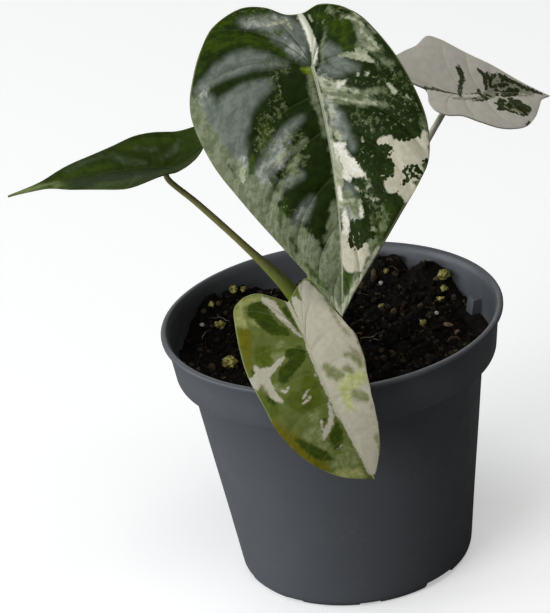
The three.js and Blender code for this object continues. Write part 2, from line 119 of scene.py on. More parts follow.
world = bpy.data.worlds.new("room")
bpy.context.scene.world = world
world.use_nodes = True
world.node_tree.nodes["Background"].inputs["Color"].default_value = (0.92, 0.96, 1.0, 1)
world.node_tree.nodes["Background"].inputs["Strength"].default_value = 0.05
bpy.context.scene.view_settings.view_transform = "Standard"

# The camera stands before the plant and above it. It looks down, a little to the left and
# tilted. Its angles are in radians, its focal length and frame height in pixels.
eye = Vector(placed([0, -833.2, 490.0]))
yaw, pitch, roll = -0.023, 0.438, -0.124
focal_length, frame_height, sensor_side = 2642, 613, 36
onward = Vector((math.sin(yaw) * math.cos(pitch), math.cos(yaw) * math.cos(pitch), -math.sin(pitch)))
level = Vector((math.cos(yaw), -math.sin(yaw), 0))
upright = level.cross(onward)
right = level * math.cos(roll) + upright * math.sin(roll)
above = upright * math.cos(roll) - level * math.sin(roll)
camera_data = bpy.data.cameras.new("camera")
camera_data.sensor_width = sensor_side
camera_data.lens = sensor_side * focal_length / frame_height
camera_data.clip_end = 50
camera = bpy.data.objects.new("camera", camera_data)
bpy.context.scene.collection.objects.link(camera)
turn = Matrix((right, above, -onward)).transposed()
camera.matrix_world = Matrix.Translation(eye) @ turn.to_4x4()
bpy.context.scene.camera = camera


# ---- Nursery pot ----
# A round grower's pot moulded in one piece from black polypropylene. It has an outward lip, a
# collar above a step, a tapered body, a notched foot ring and a raised base plate with holes.

pot = {
    "height": 95.0, "wall": 1.3, "shoulder": 78.7, "corner": 4.2, "floor": 2.6,
    "foot": 40.3, "body_foot": 41.9, "body_top": 51.9,
    "collar_foot": 56.5, "collar_top": 58.3, "rim": 60.0, "rim_inner": 58.0, "rim_bead": 1.5,
}
round_steps = 192


def inner_radius(z):
    """Radius of the pot's inner wall at a height."""
    if z < pot["shoulder"] + pot["wall"]:
        share = (z - pot["corner"]) / (pot["shoulder"] - pot["corner"])
        return pot["body_foot"] + (pot["body_top"] - pot["body_foot"]) * share - pot["wall"]
    top = pot["height"] - pot["rim_bead"]
    share = (z - pot["shoulder"]) / (top - pot["shoulder"])
    return pot["collar_foot"] + (pot["collar_top"] - pot["collar_foot"]) * share - pot["wall"]


def select_only(piece):
    """Makes a piece the only selected object and the active one."""
    bpy.ops.object.select_all(action="DESELECT")
    piece.select_set(True)
    bpy.context.view_layer.objects.active = piece


@contextmanager
def editing(piece):
    """Opens a piece in edit mode with all of it selected, and closes it afterwards."""
    select_only(piece)
    bpy.ops.object.mode_set(mode="EDIT")
    bpy.ops.mesh.select_all(action="SELECT")
    yield
    bpy.ops.object.mode_set(mode="OBJECT")


def drawn_ring(radius, z, steps):
    """A new object with one ring of edges, in edit mode with the ring selected."""
    bpy.ops.mesh.primitive_circle_add(vertices=steps, radius=radius * 0.001, location=(0, 0, z * 0.001))
    piece = bpy.context.active_object
    bpy.ops.object.transform_apply(location=True, rotation=True, scale=True)
    bpy.ops.object.mode_set(mode="EDIT")
    bpy.ops.mesh.select_all(action="SELECT")
    return piece


def pull_ring(was, now):
    """Extrudes the selected ring from one radius and height to another."""
    (radius, z), (next_radius, next_z) = was, now
    bpy.ops.mesh.extrude_region_move(
        TRANSFORM_OT_translate={"value": (0, 0, (next_z - z) * 0.001)})
    grow = next_radius / radius
    bpy.ops.transform.resize(value=(grow, grow, 1), center_override=(0, 0, next_z * 0.001))


def turned_shell(profile, steps):
    """A closed body of revolution through radius and height pairs, ends capped at the axis."""
    piece = drawn_ring(*profile[0], steps)
    for was, now in zip(profile[:-1], profile[1:]):
        pull_ring(was, now)
    bpy.ops.mesh.edge_face_add()
    bpy.ops.mesh.poke()
    bpy.ops.mesh.select_all(action="DESELECT")
    bpy.ops.mesh.select_mode(type="EDGE")
    bpy.ops.mesh.select_non_manifold(extend=False)
    bpy.ops.mesh.edge_face_add()
    bpy.ops.mesh.poke()
    bpy.ops.mesh.select_mode(type="VERT")
    bpy.ops.mesh.select_all(action="SELECT")
    bpy.ops.mesh.normals_make_consistent(inside=False)
    bpy.ops.object.mode_set(mode="OBJECT")
    return piece


def cut_or_join(piece, tool, operation):
    """Applies a boolean with a tool object, which is used up."""
    select_only(piece)
    boolean = piece.modifiers.new("shape", "BOOLEAN")
    boolean.operation = operation
    boolean.solver = "EXACT"
    boolean.object = tool
    bpy.ops.object.modifier_apply(modifier=boolean.name)
    bpy.data.objects.remove(tool)


def joined(pieces):
    """One object out of several meshes."""
    bpy.ops.object.select_all(action="DESELECT")
    for piece in pieces:
        piece.select_set(True)
    bpy.context.view_layer.objects.active = pieces[0]
    if len(pieces) > 1:
        bpy.ops.object.join()
    bpy.ops.object.transform_apply(location=True, rotation=True, scale=True)
    return bpy.context.active_object


def put_in_place(piece, name):
    """Moves a mesh made round the world's origin to the pot's axis, and names it."""
    piece.data.transform(Matrix.Translation(pot_axis))
    piece.name = name
    piece.data.name = name
    return piece


rim_foot = pot["height"] - pot["rim_bead"]
ledge = pot["shoulder"] + pot["wall"]
plate = pot["floor"] + pot["wall"]
pot_profile = [
    (2.0, pot["floor"]), (20.0, pot["floor"]), (pot["foot"] - pot["wall"] - 0.4, pot["floor"]),
    (pot["foot"] - pot["wall"], pot["floor"] - 0.4), (pot["foot"] - pot["wall"], 0.3),
    (pot["foot"] - pot["wall"] + 0.3, 0.0), (pot["foot"] - 0.3, 0.0), (pot["foot"], 0.3),
    (pot["foot"] + 0.9, 1.3), (pot["foot"] + 1.35, 2.6), (pot["body_foot"], pot["corner"]),
    (44.5, 24.2), (48.2, 51.0), (pot["body_top"] - 0.08, pot["shoulder"] - 0.7),
    (pot["body_top"] + 0.5, pot["shoulder"]), (pot["collar_foot"] - 0.6, pot["shoulder"]),
    (pot["collar_foot"] - 0.15, pot["shoulder"] + 0.15), (pot["collar_foot"] + 0.05, pot["shoulder"] + 0.7),
    (57.4, 86.0), (pot["collar_top"] - 0.1, rim_foot - 0.6), (pot["collar_top"] + 0.2, rim_foot),
    (pot["rim"] - 0.4, rim_foot), (pot["rim"] - 0.08, rim_foot + 0.15), (pot["rim"], rim_foot + 0.5),
    (pot["rim"], pot["height"] - 0.55), (pot["rim"] - 0.15, pot["height"] - 0.18),
    (pot["rim"] - 0.55, pot["height"]), (pot["rim_inner"] + 0.35, pot["height"]),
    (pot["rim_inner"] - 0.1, pot["height"] - 0.3), (inner_radius(rim_foot) + 0.2, rim_foot - 0.2),
    (inner_radius(rim_foot - 1), rim_foot - 1.2), (inner_radius(86.0), 86.0),
    (inner_radius(ledge) + 0.05, ledge + 0.5), (inner_radius(ledge) - 0.4, ledge),
    (inner_radius(ledge - 0.01) + 0.3, ledge), (inner_radius(ledge - 0.5), ledge - 0.6),
    (inner_radius(51.0), 51.0), (inner_radius(24.0), 24.0), (inner_radius(plate + 1.5), plate + 1.5),
    (inner_radius(plate) - 1.3, plate), (20.0, plate), (2.0, plate),
]
pot_piece = turned_shell(pot_profile, round_steps)

drain_count, drain_radius, drain_ring = 9, 3.5, 31
drains = []
for i in range(drain_count):
    angle = i * 2 * math.pi / drain_count
    ring = drain_ring * 0.001
    bpy.ops.mesh.primitive_cylinder_add(
        vertices=32, radius=drain_radius * 0.001, depth=0.008,
        location=(ring * math.cos(angle), ring * math.sin(angle), pot["floor"] * 0.001))
    drains.append(bpy.context.active_object)
cut_or_join(pot_piece, joined(drains), "DIFFERENCE")

# Notches in the foot ring let water out. Each has a span in degrees and a depth, and every
# third one is wide.
wide_notch, narrow_notch = (20, 2.4), (10.5, 1.0)
notch_count, first_notch, notch_length, notch_bevel = 9, 43, 6, 0.4
gaps = []
for i in range(notch_count):
    span, depth = narrow_notch if i % 3 else wide_notch
    width = 2 * pot["foot"] * math.tan(math.radians(span / 2))
    angle = math.radians(first_notch + 360 / notch_count * i - 90)
    bpy.ops.mesh.primitive_cube_add(
        size=0.001, rotation=(0, 0, angle),
        location=(0.001 * pot["foot"] * math.cos(angle), 0.001 * pot["foot"] * math.sin(angle), 0))
    gap = bpy.context.active_object
    gap.scale = (notch_length, width, 2 * depth)
    bpy.ops.object.transform_apply(location=True, rotation=True, scale=True)
    with editing(gap):
        bpy.ops.mesh.bevel(offset=notch_bevel * 0.001, segments=3)
    gaps.append(gap)
cut_or_join(pot_piece, joined(gaps), "DIFFERENCE")

# Stacking lugs: upright wedges on the ledge that keep nested pots from jamming. They sink a
# little into the ledge and the wall.
lug_count, first_lug, lug_width, lug_height = 3, 19.6, 5.0, 5.9
lug_foot, lug_head, lug_sink, lug_bevel = 51.5, 53.0, 0.5, 0.3
for i in range(lug_count):
    bpy.ops.mesh.primitive_cube_add(size=0.001)
    wedge = bpy.context.active_object
    top = ledge + lug_height
    in_wall, in_ledge = inner_radius(top) + lug_sink, ledge - lug_sink
    corners = {
        (-1, -1): (lug_foot, in_ledge), (1, -1): (in_wall, in_ledge),
        (-1, 1): (lug_head, top), (1, 1): (in_wall, top),
    }
    for vertex in wedge.data.vertices:
        side = tuple(int(math.copysign(1, value)) for value in (vertex.co.x, vertex.co.z))
        radius, z = corners[side]
        vertex.co = Vector((radius, math.copysign(lug_width / 2, vertex.co.y), z)) * 0.001
    with editing(wedge):
        bpy.ops.mesh.bevel(offset=lug_bevel * 0.001, segments=3)
    wedge.data.transform(Matrix.Rotation(math.radians(first_lug + 360 / lug_count * i), 4, "Z"))
    cut_or_join(pot_piece, wedge, "UNION")

select_only(pot_piece)
bpy.ops.object.shade_smooth_by_angle(angle=math.radians(38))
put_in_place(pot_piece, "pot_body")


def effect_group(name, inputs, outputs):
    """An empty node group with named sockets, and its input and output nodes."""
    group = bpy.data.node_groups.new(name, "ShaderNodeTree")
    for label, kind, value in inputs:
        socket = group.interface.new_socket(label, in_out="INPUT", socket_type=kind)
        if value is not None:
            socket.default_value = value
    for label, kind in outputs:
        group.interface.new_socket(label, in_out="OUTPUT", socket_type=kind)
    return group, group.nodes.new("NodeGroupInput"), group.nodes.new("NodeGroupOutput")


def node(tree, kind, settings=None, **values):
    """A new node with its settings, input values and incoming links."""
    made = tree.nodes.new(kind)
    for name, value in (settings or {}).items():
        setattr(made, name, value)
    for name, value in values.items():
        key = int(name[1:]) if name[0] == "i" and name[1:].isdigit() else name.replace("_", " ")
        if isinstance(value, bpy.types.NodeSocket):
            tree.links.new(value, made.inputs[key])
        else:
            made.inputs[key].default_value = value
    return made


def math_node(tree, operation, *values):
    """The output of a Math node."""
    made = node(tree, "ShaderNodeMath", {"operation": operation})
    for socket, value in zip(made.inputs, values):
        if isinstance(value, bpy.types.NodeSocket):
            tree.links.new(value, socket)
        else:
            socket.default_value = value
    return made.outputs[0]


def product(tree, first, second):
    """The output of a Math node that multiplies two values."""
    return math_node(tree, "MULTIPLY", first, second)


def blended(tree, share, first, second):
    """The colour between two colours at a share."""
    made = node(tree, "ShaderNodeMix", {"data_type": "RGBA"})
    for socket, value in ((made.inputs[0], share), (made.inputs[6], first), (made.inputs[7], second)):
        if isinstance(value, bpy.types.NodeSocket):
            tree.links.new(value, socket)
        else:
            socket.default_value = value
    return made.outputs[2]


def ramped(tree, value, low, high, to_low=0.0, to_high=1.0):
    """A value carried smoothly from one range to another."""
    made = node(tree, "ShaderNodeMapRange", {"interpolation_type": "SMOOTHSTEP"})
    for key, item in enumerate((value, low, high, to_low, to_high)):
        if isinstance(item, bpy.types.NodeSocket):
            tree.links.new(item, made.inputs[key])
        else:
            made.inputs[key].default_value = item
    return made.outputs[0]


def grain_noise(tree, vector, scale, detail=3.0, distortion=0.0, roughness=0.55):
    """The value of a noise texture on a vector."""
    return node(tree, "ShaderNodeTexNoise", Vector=vector, Scale=scale, Detail=detail,
                Distortion=distortion, Roughness=roughness).outputs[0]


def attribute(tree, name, output="Fac"):
    """A point attribute of the mesh, as a node's output."""
    return node(tree, "ShaderNodeAttribute", {"attribute_name": name}).outputs[output]


def object_place(tree):
    """The place on the object, in metres."""
    return node(tree, "ShaderNodeTexCoord").outputs["Object"]


def bumped(tree, shader, height, strength, distance):
    """Roughens a shader's surface with a height, by up to a distance in metres."""
    bump = node(tree, "ShaderNodeBump", Strength=strength, Distance=distance, Height=height)
    tree.links.new(bump.outputs[0], shader.inputs["Normal"])


# Dust and fine rubbed marks, which the pot carries.
dust_group, dust_in, dust_out = effect_group(
    "dust_and_rub",
    [("Vector", "NodeSocketVector", None), ("Amount", "NodeSocketFloat", 0.5)],
    [("Dust", "NodeSocketFloat"), ("Rub", "NodeSocketFloat")])
cloud = grain_noise(dust_group, dust_in.outputs[0], 45, 5)
speck = grain_noise(dust_group, dust_in.outputs[0], 900, 2)
dusty = product(dust_group, ramped(dust_group, cloud, 0.42, 0.75), ramped(dust_group, speck, 0.45, 0.7))
dust_group.links.new(product(dust_group, dusty, dust_in.outputs[1]), dust_out.inputs[0])
stretched = node(dust_group, "ShaderNodeMapping", Vector=dust_in.outputs[0], Scale=(40, 40, 900))
streak = grain_noise(dust_group, stretched.outputs[0], 1, 4)
rubbed = product(dust_group, ramped(dust_group, streak, 0.5, 0.8), dust_in.outputs[1])
dust_group.links.new(rubbed, dust_out.inputs[1])

plastic, plastic_tree, plastic_shader = new_material("black_polypropylene")
where = object_place(plastic_tree)
dust = node(plastic_tree, "ShaderNodeGroup", {"node_tree": dust_group}, Vector=where, Amount=0.3)
plastic_colour = blended(plastic_tree, dust.outputs["Dust"], tint(86, 89, 94), tint(116, 115, 112))
plastic_tree.links.new(plastic_colour, plastic_shader.inputs["Base Color"])
rough = ramped(plastic_tree, grain_noise(plastic_tree, where, 120, 4), 0.3, 0.75, 0.4, 0.52)
rough = math_node(plastic_tree, "ADD", rough, product(plastic_tree, dust.outputs["Rub"], 0.12))
plastic_tree.links.new(rough, plastic_shader.inputs["Roughness"])
fine_grain = product(plastic_tree, grain_noise(plastic_tree, where, 1500, 2), 0.5)
ripple = product(plastic_tree, grain_noise(plastic_tree, where, 60, 2), 2.0)
bumped(plastic_tree, plastic_shader, math_node(plastic_tree, "ADD", fine_grain, ripple), 0.12, 0.0004)
pot_piece.data.materials.clear()
pot_piece.data.materials.append(plastic)
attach(pot_piece, "root")
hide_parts("pot")


# ---- Potting soil ----
# Dark fibrous peat that fills the pot to a little below its rim, heaped up at the back and
# right, with crumbs and short fibres lying on it.

soil_level = 82.5
soil_forms = [
    (22, 51, 9.5, 8), (40, 42, 9, 9), (30, 47, -5.5, 3),
    (-43, 33, 7.5, 10), (-31, 46, 3.5, 6), (52, 10, -7.5, 8),
]


def soil_height(x, y):
    """Height of the smoothed soil at a place from the pot's axis."""
    height = soil_level + 0.7 * np.sin(0.37 * x + 1.3) * np.cos(0.29 * y)
    height = height + 0.5 * np.sin(0.71 * x + 0.53 * y)
    for cx, cy, rise, spread in soil_forms:
        height = height + rise * np.exp(-((x - cx) ** 2 + (y - cy) ** 2) / (2 * spread ** 2))
    return height


def rough_height(x, y):
    """The soil's height with its crumbs, at one place."""
    place = Vector((x, y, 0))
    crumb = 2.1 * noise.turbulence(place * 0.16, 3, False, noise_basis="PERLIN_ORIGINAL") - 0.7
    crumb += 1.1 * (0.45 - noise.voronoi(place * 0.42)[0][0])
    crumb += 0.5 * noise.noise(place * 1.3)
    return float(soil_height(x, y)) + crumb


# Ring by ring down the wall: over the ledge, in along it, down the body and across the base.
below_ledge = inner_radius(78.0)
soil_wall = [(inner_radius(ledge + 0.3) - 0.5, ledge + 0.3), (below_ledge + 1, ledge + 0.25),
             (below_ledge - 0.7, ledge)]
soil_wall += [(inner_radius(z) - 0.8, z) for z in (76, 66, 56, 46, 36, 26, 16, 8, plate + 0.4)]
soil_wall += [(20.0, plate + 0.4), (0.0, plate + 0.4)]
around, top_rings = 240, 92
wall_gap, ring_step = 0.35, 0.01
highest_bed, highest_crumb = 92.5, 92.0
rings = top_rings + len(soil_wall)
bpy.ops.mesh.primitive_grid_add(x_subdivisions=around, y_subdivisions=rings, size=2)
soil_piece = bpy.context.active_object
for vertex in soil_piece.data.vertices:
    angle = (vertex.co.x + 1) * math.pi
    ring = round((vertex.co.y + 1) / 2 * rings)
    if ring <= top_rings:
        share = (ring / top_rings) ** 0.8
        radius = share * (inner_radius(90.0) - wall_gap)
        z = rough_height(radius * math.cos(angle), radius * math.sin(angle))
        if radius > below_ledge - 1:
            z = max(min(z, highest_bed), ledge + 0.4)
        radius = min(radius, inner_radius(z) - wall_gap - ring_step * (top_rings - ring))
    else:
        radius, z = soil_wall[ring - top_rings - 1]
    vertex.co = Vector((radius * math.cos(angle), radius * math.sin(angle), z)) * 0.001
with editing(soil_piece):
    bpy.ops.mesh.remove_doubles(threshold=0.000001)
    bpy.ops.mesh.quads_convert_to_tris()
    bpy.ops.mesh.normals_make_consistent(inside=False)
bpy.ops.object.shade_smooth()
put_in_place(soil_piece, "soil_bed")

# Peat: nearly black, with browner crumbs and pale fibre ends.
peat, peat_tree, peat_shader = new_material("peat")
where = object_place(peat_tree)
crumbs_tone = ramped(peat_tree, grain_noise(peat_tree, where, 420, 6, 0.4), 0.35, 0.75)
peat_colour = blended(peat_tree, crumbs_tone, tint(8, 7, 5), tint(34, 26, 20))
fleck = ramped(peat_tree, grain_noise(peat_tree, where, 1500, 2), 0.66, 0.74)
peat_colour = blended(peat_tree, product(peat_tree, fleck, 0.5), peat_colour, tint(92, 78, 62))
peat_colour = blended(peat_tree, attribute(peat_tree, "weathered"), peat_colour, tint(104, 88, 68))
peat_tree.links.new(peat_colour, peat_shader.inputs["Base Color"])
peat_shader.inputs["Roughness"].default_value = 0.95
peat_shader.inputs["Specular IOR Level"].default_value = 0.15
fine_grain = product(peat_tree, grain_noise(peat_tree, where, 2600, 3), 0.3)
peat_height = math_node(peat_tree, "ADD", grain_noise(peat_tree, where, 700, 6), fine_grain)
bumped(peat_tree, peat_shader, peat_height, 1.0, 0.0012)
soil_piece.data.materials.append(peat)
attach(soil_piece, "root")
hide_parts("soil")


def mesh_piece(name, vertices, faces):
    """A new object from vertices in metres and faces."""
    mesh = bpy.data.meshes.new(name)
    mesh.from_pydata([tuple(v) for v in vertices], [], [tuple(int(i) for i in f) for f in faces])
    mesh.update()
    piece = bpy.data.objects.new(name, mesh)
    bpy.context.scene.collection.objects.link(piece)
    return piece


# Loose crumbs: one rough twenty-sided grain, copied at many sizes and turns.
bpy.ops.mesh.primitive_ico_sphere_add(subdivisions=1, radius=1)
grain = bpy.context.active_object
grain_points = np.array([v.co for v in grain.data.vertices])
grain_faces = np.array([list(p.vertices) for p in grain.data.polygons])
bpy.data.objects.remove(grain)
draw = np.random.default_rng(11)
crumb_count, crumb_reach = 3600, 56
crumb_points, crumb_faces, crumb_tones = [], [], []
for i in range(crumb_count):
    distance = crumb_reach * math.sqrt(draw.random())
    angle = draw.random() * 2 * math.pi
    x, y = distance * math.cos(angle), distance * math.sin(angle)
    size = 0.28 + 1.5 * draw.random() ** 4
    z = min(rough_height(x, y), highest_crumb) + 0.25 * size
    if math.hypot(x, y) + size > inner_radius(z) - 0.4:
        continue
    shape = grain_points * (1 + 0.7 * (draw.random((len(grain_points), 1)) - 0.5))
    shape = shape * (size * np.array([1, 0.6 + 0.4 * draw.random(), 0.5 + 0.4 * draw.random()]))
    spin = np.array(Matrix.Rotation(draw.random() * 6.28, 3, Vector(draw.random(3) - 0.5)))
    crumb_faces.append(grain_faces + len(crumb_points) * len(grain_points))
    crumb_points.append(shape @ spin.T + np.array([x, y, z]))
    crumb_tones += [0.9 * draw.random() ** 5] * len(grain_points)
crumbs = mesh_piece("soil_crumbs", placed(np.concatenate(crumb_points)), np.concatenate(crumb_faces))
weathered = crumbs.data.attributes.new("weathered", "FLOAT", "POINT")
weathered.data.foreach_set("value", np.array(crumb_tones, np.float32))
crumbs.data.materials.append(peat)
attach(crumbs, "root")


def tube(name, lines, sides=6):
    """Round closed tubes along lines of points with radii, as one mesh. Sizes in millimetres."""
    curve = bpy.data.curves.new(name, "CURVE")
    curve.dimensions = "3D"
    curve.bevel_depth = 0.001
    curve.bevel_resolution = max(0, sides // 2 - 2)
    curve.use_fill_caps = True
    for points, radii in lines:
        spline = curve.splines.new("POLY")
        spline.points.add(len(points) - 1)
        for point, place, radius in zip(spline.points, placed(points), radii):
            point.co = (*place, 1)
            point.radius = radius
    piece = bpy.data.objects.new(name, curve)
    bpy.context.scene.collection.objects.link(piece)
    select_only(piece)
    bpy.ops.object.convert(target="MESH")
    piece = bpy.context.active_object
    with editing(piece):
        bpy.ops.mesh.remove_doubles(threshold=0.000001)
        bpy.ops.mesh.normals_make_consistent(inside=False)
    bpy.ops.object.shade_smooth()
    return piece


def fibre_line(x, y, heading, length, thickness, wander, lift=0.3):
    """A thread that crawls over the soil, as points with radii."""
    points, radii = [], []
    steps = 10
    for k in range(steps + 1):
        z = max(float(soil_height(x, y)) - 0.4, rough_height(x, y)) + lift * math.sin(math.pi * k / steps)
        points.append((x, y, z))
        radii.append(thickness * (0.6 + 0.4 * math.sin(math.pi * k / steps)))
        heading += wander * (draw.random() - 0.5)
        x += length / steps * math.cos(heading)
        y += length / steps * math.sin(heading)
    return points, radii


# Roots that show: place, heading, length and thickness.
root_places = [(-44, 24, -0.4, 9, 0.16), (-47, 12, 1.3, 8, 0.14), (9, 3, 0.5, 11, 0.16),
               (12, 0, -0.7, 6, 0.12), (38, -8, 0.2, 6, 0.14)]
fibre_count, fibre_reach, fibre_limit = 90, 50, 54
dark_fibres, pale_roots = [], []
for i in range(fibre_count):
    distance, angle = fibre_reach * math.sqrt(draw.random()), draw.random() * 2 * math.pi
    line = fibre_line(distance * math.cos(angle), distance * math.sin(angle), draw.random() * 6.28,
                      3 + 5 * draw.random(), 0.05 + 0.06 * draw.random(), 1.3, 0.8 * draw.random())
    (dark_fibres if i % 7 else pale_roots).append(line)
dark_fibres, pale_roots = (
    [line for line in threads if max(math.hypot(p[0], p[1]) for p in line[0]) < fibre_limit]
    for threads in (dark_fibres, pale_roots))
for x, y, heading, length, thickness in root_places:
    pale_roots.append(fibre_line(x, y, heading, length, thickness, 0.9, 1.2))
for name, lines, colour in (("peat_fibres", dark_fibres, tint(74, 54, 38)),
                            ("fine_roots", pale_roots, tint(150, 140, 118))):
    threads = tube(name, lines, 4)
    thread_material, thread_tree, thread_shader = new_material(name)
    wear = ramped(thread_tree, grain_noise(thread_tree, object_place(thread_tree), 500), 0.35, 0.7)
    faded = blended(thread_tree, wear, colour, tint(60, 48, 38))
    thread_tree.links.new(faded, thread_shader.inputs["Base Color"])
    thread_shader.inputs["Roughness"].default_value = 0.8
    threads.data.materials.append(thread_material)
    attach(threads, "root")


# ---- Feed lumps, bark and perlite ----
# Loose bits on the soil: yellow-green coated feed grains, dry bark chips and white perlite.
# Each is the frame's own lump, rounded and roughened.

def roughened(source, size):
    """A finer copy of a node, merged, smoothed and given a rough skin."""
    piece = source.copy()
    piece.data = source.data.copy()
    piece.parent = None
    for key in list(piece.keys()):
        del piece[key]
    bpy.context.scene.collection.objects.link(piece)
    with editing(piece):
        bpy.ops.mesh.remove_doubles(threshold=0.000005)
        bpy.ops.mesh.subdivide(number_cuts=3, smoothness=0.6)
    for vertex in piece.data.vertices:
        place = vertex.co * 1000
        bump = noise.noise(place * 1.1) + 0.6 * noise.noise(place * 2.7)
        bump = bump + 1.8 * (0.45 - noise.voronoi(place * 0.75)[0][0])
        vertex.co += vertex.normal * 0.001 * size * bump
    bpy.ops.object.shade_smooth()
    return piece


def crumbly_material(name, pale, deep, scale):
    """A dry matt skin that is mottled between two tones and finely pitted."""
    material, tree, shader = new_material(name)
    where = object_place(tree)
    tone = ramped(tree, grain_noise(tree, where, scale, 5, 0.5), 0.35, 0.7)
    tree.links.new(blended(tree, tone, deep, pale), shader.inputs["Base Color"])
    shader.inputs["Roughness"].default_value = 0.9
    bumped(tree, shader, grain_noise(tree, where, scale * 2.5, 4), 0.8, 0.0005)
    return material


loose_bits = {
    "feed_lump": (crumbly_material("feed_grain", tint(196, 190, 112), tint(98, 88, 34), 700), 0.5),
    "bark_chip": (crumbly_material("dry_bark", tint(150, 128, 98), tint(78, 60, 44), 1200), 0.18),
    "perlite": (crumbly_material("perlite_grain", tint(226, 222, 214), tint(170, 164, 152), 1500), 0.15),
}
for name in sorted(nodes):
    kind = name.rsplit("_", 1)[0]
    if kind in loose_bits:
        material, roughness = loose_bits[kind]
        bit = roughened(nodes[name], roughness)
        bit.name = bit.data.name = "rough_" + name
        bit.data.materials.clear()
        bit.data.materials.append(material)
        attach(bit, "root")
        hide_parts(name)


# ---- Corm ----
# The swollen base under the soil that carries the petioles, brown and fibrous, with the pale
# growing point between the sheaths. The frame's solid has its shape.

corm_material, corm_tree, corm_shader = new_material("corm_skin")
where = object_place(corm_tree)
height = node(corm_tree, "ShaderNodeSeparateXYZ", Vector=where).outputs[2]
skin = blended(corm_tree, ramped(corm_tree, grain_noise(corm_tree, where, 600, 5, 1.0), 0.35, 0.7),
               tint(58, 40, 26), tint(118, 88, 58))
corm_tree.links.new(blended(corm_tree, ramped(corm_tree, height, 0.077, 0.081), skin, tint(150, 165, 96)),
                    corm_shader.inputs["Base Color"])
corm_shader.inputs["Roughness"].default_value = 0.75
bumped(corm_tree, corm_shader, grain_noise(corm_tree, where, 1400, 4), 0.7, 0.0005)
nodes["corm"].data.materials.clear()
nodes["corm"].data.materials.append(corm_material)


# ---- Leaf blades ----
# Four arrow-shaped blades. Each is drawn flat, x across and y along the midrib from the
# petiole's junction, then folded, bent and quilted between its side veins.

blade_thickness, pad_power = 0.8, 0.6


def through(points, shares):
    """Points of the smooth curve through a list of points, at shares counted in list steps."""
    points = np.asarray(points, float)
    last = len(points) - 1
    cell = np.clip(np.floor(shares).astype(int), 0, last - 1)
    t = (np.asarray(shares, float) - cell)[..., None]
    before = points[np.maximum(cell - 1, 0)]
    first, second = points[cell], points[cell + 1]
    after = points[np.minimum(cell + 2, last)]
    before = np.where((cell == 0)[..., None], first, before)
    after = np.where((cell == last - 1)[..., None], second, after)
    leave, arrive = (second - before) / 2, (after - first) / 2
    return ((2 * first - 2 * second + leave + arrive) * t ** 3
            + (-3 * first + 3 * second - 2 * leave - arrive) * t ** 2 + leave * t + first)


def blade_axes(blade):
    """The blade's own directions at the junction: along the midrib, out of its face, across."""
    h, p, r = np.radians([blade["heading"], blade["pitch"], blade["roll"]])
    along = np.array([np.cos(p) * np.cos(h), np.cos(p) * np.sin(h), np.sin(p)])
    flat_up = np.array([-np.sin(p) * np.cos(h), -np.sin(p) * np.sin(h), np.cos(p)])
    up = flat_up * np.cos(r) + np.cross(flat_up, along) * np.sin(r)
    return along, up, np.cross(up, along)


def midrib_x(blade, y):
    """Sideways place of the midrib at a distance along the blade."""
    share = y / blade["length"]
    return np.where(y < 0, y * blade["notch"][0] / blade["notch"][1], 4 * blade["sway"] * share * (1 - share))


def blade_surface(blade, x, y):
    """A flat point on the bent, folded and cupped middle surface of the blade."""
    along, up, across = blade_axes(blade)
    bend = np.radians(np.where(y < 0, blade["lobe_droop"], blade["droop"]))
    lean = bend * y
    point = (np.array(blade["junction"]) + along * (np.sin(lean) / bend)[..., None]
             - up * ((1 - np.cos(lean)) / bend)[..., None])
    middle = midrib_x(blade, y)
    width, low = np.abs(x - middle), x < middle
    share = np.clip((y + 10) / (blade["length"] + 10), 0, 1)
    fold_start = np.where(low, blade["low"]["fold"][0], blade["high"]["fold"][0])
    fold_end = np.where(low, blade["low"]["fold"][1], blade["high"]["fold"][1])
    fold = np.radians(fold_start + (fold_end - fold_start) * share)
    curl = np.radians(blade["cup"])
    reach = (np.sin(fold + curl * width) - np.sin(fold)) / curl
    rise = (np.cos(fold) - np.cos(fold + curl * width)) / curl
    leaning = up * np.cos(lean)[..., None] + along * np.sin(lean)[..., None]
    return point + across * (middle + np.where(low, -reach, reach))[..., None] + leaning * rise[..., None]


def blade_normal(blade, x, y):
    """Unit normals of the middle surface, out of the blade's upper face."""
    step = 0.5
    across = blade_surface(blade, x + step, y) - blade_surface(blade, x - step, y)
    along = blade_surface(blade, x, y + step) - blade_surface(blade, x, y - step)
    out = np.cross(along, across)
    return out / np.linalg.norm(out, axis=-1, keepdims=True)


def vein_point(blade, side, sign, v, s):
    """Flat place of a point on vein line v, a share s of the way from the midrib to the margin."""
    roots, reach = np.array(blade["vein_roots"], float), np.array(side["reach"], float)
    cell = np.minimum(np.floor(v).astype(int), len(roots) - 2)
    part = v - cell
    y = roots[cell] + (roots[cell + 1] - roots[cell]) * part
    root = np.stack([midrib_x(blade, y), y], -1)
    margin = through(side["outline"], reach[cell] + (reach[cell + 1] - reach[cell]) * part)
    chord = margin - root
    t = np.clip(v / 2.5, 0, 1)
    bow = 0.13 * t * t * (3 - 2 * t)
    middle = root + chord / 2 + np.stack([chord[..., 1], -chord[..., 0]], -1) * (2 * bow * sign)[..., None]
    s = s[..., None]
    return (1 - s) ** 2 * root + 2 * (1 - s) * s * middle + s * s * margin


def rib_depth(blade, x, y):
    """Depth of the midrib below the underside."""
    taper = np.clip(1 - np.abs(y) / blade["length"], 0, 1)
    return 0.9 * taper * np.exp(-((x - midrib_x(blade, y)) / 1.8) ** 2)


def noise_at(flat, size, seed):
    """Smooth noise from -1 to 1 on flat points, with features of a size in millimetres."""
    return np.array([noise.noise(Vector((x / size, y / size, seed))) for x, y in flat])


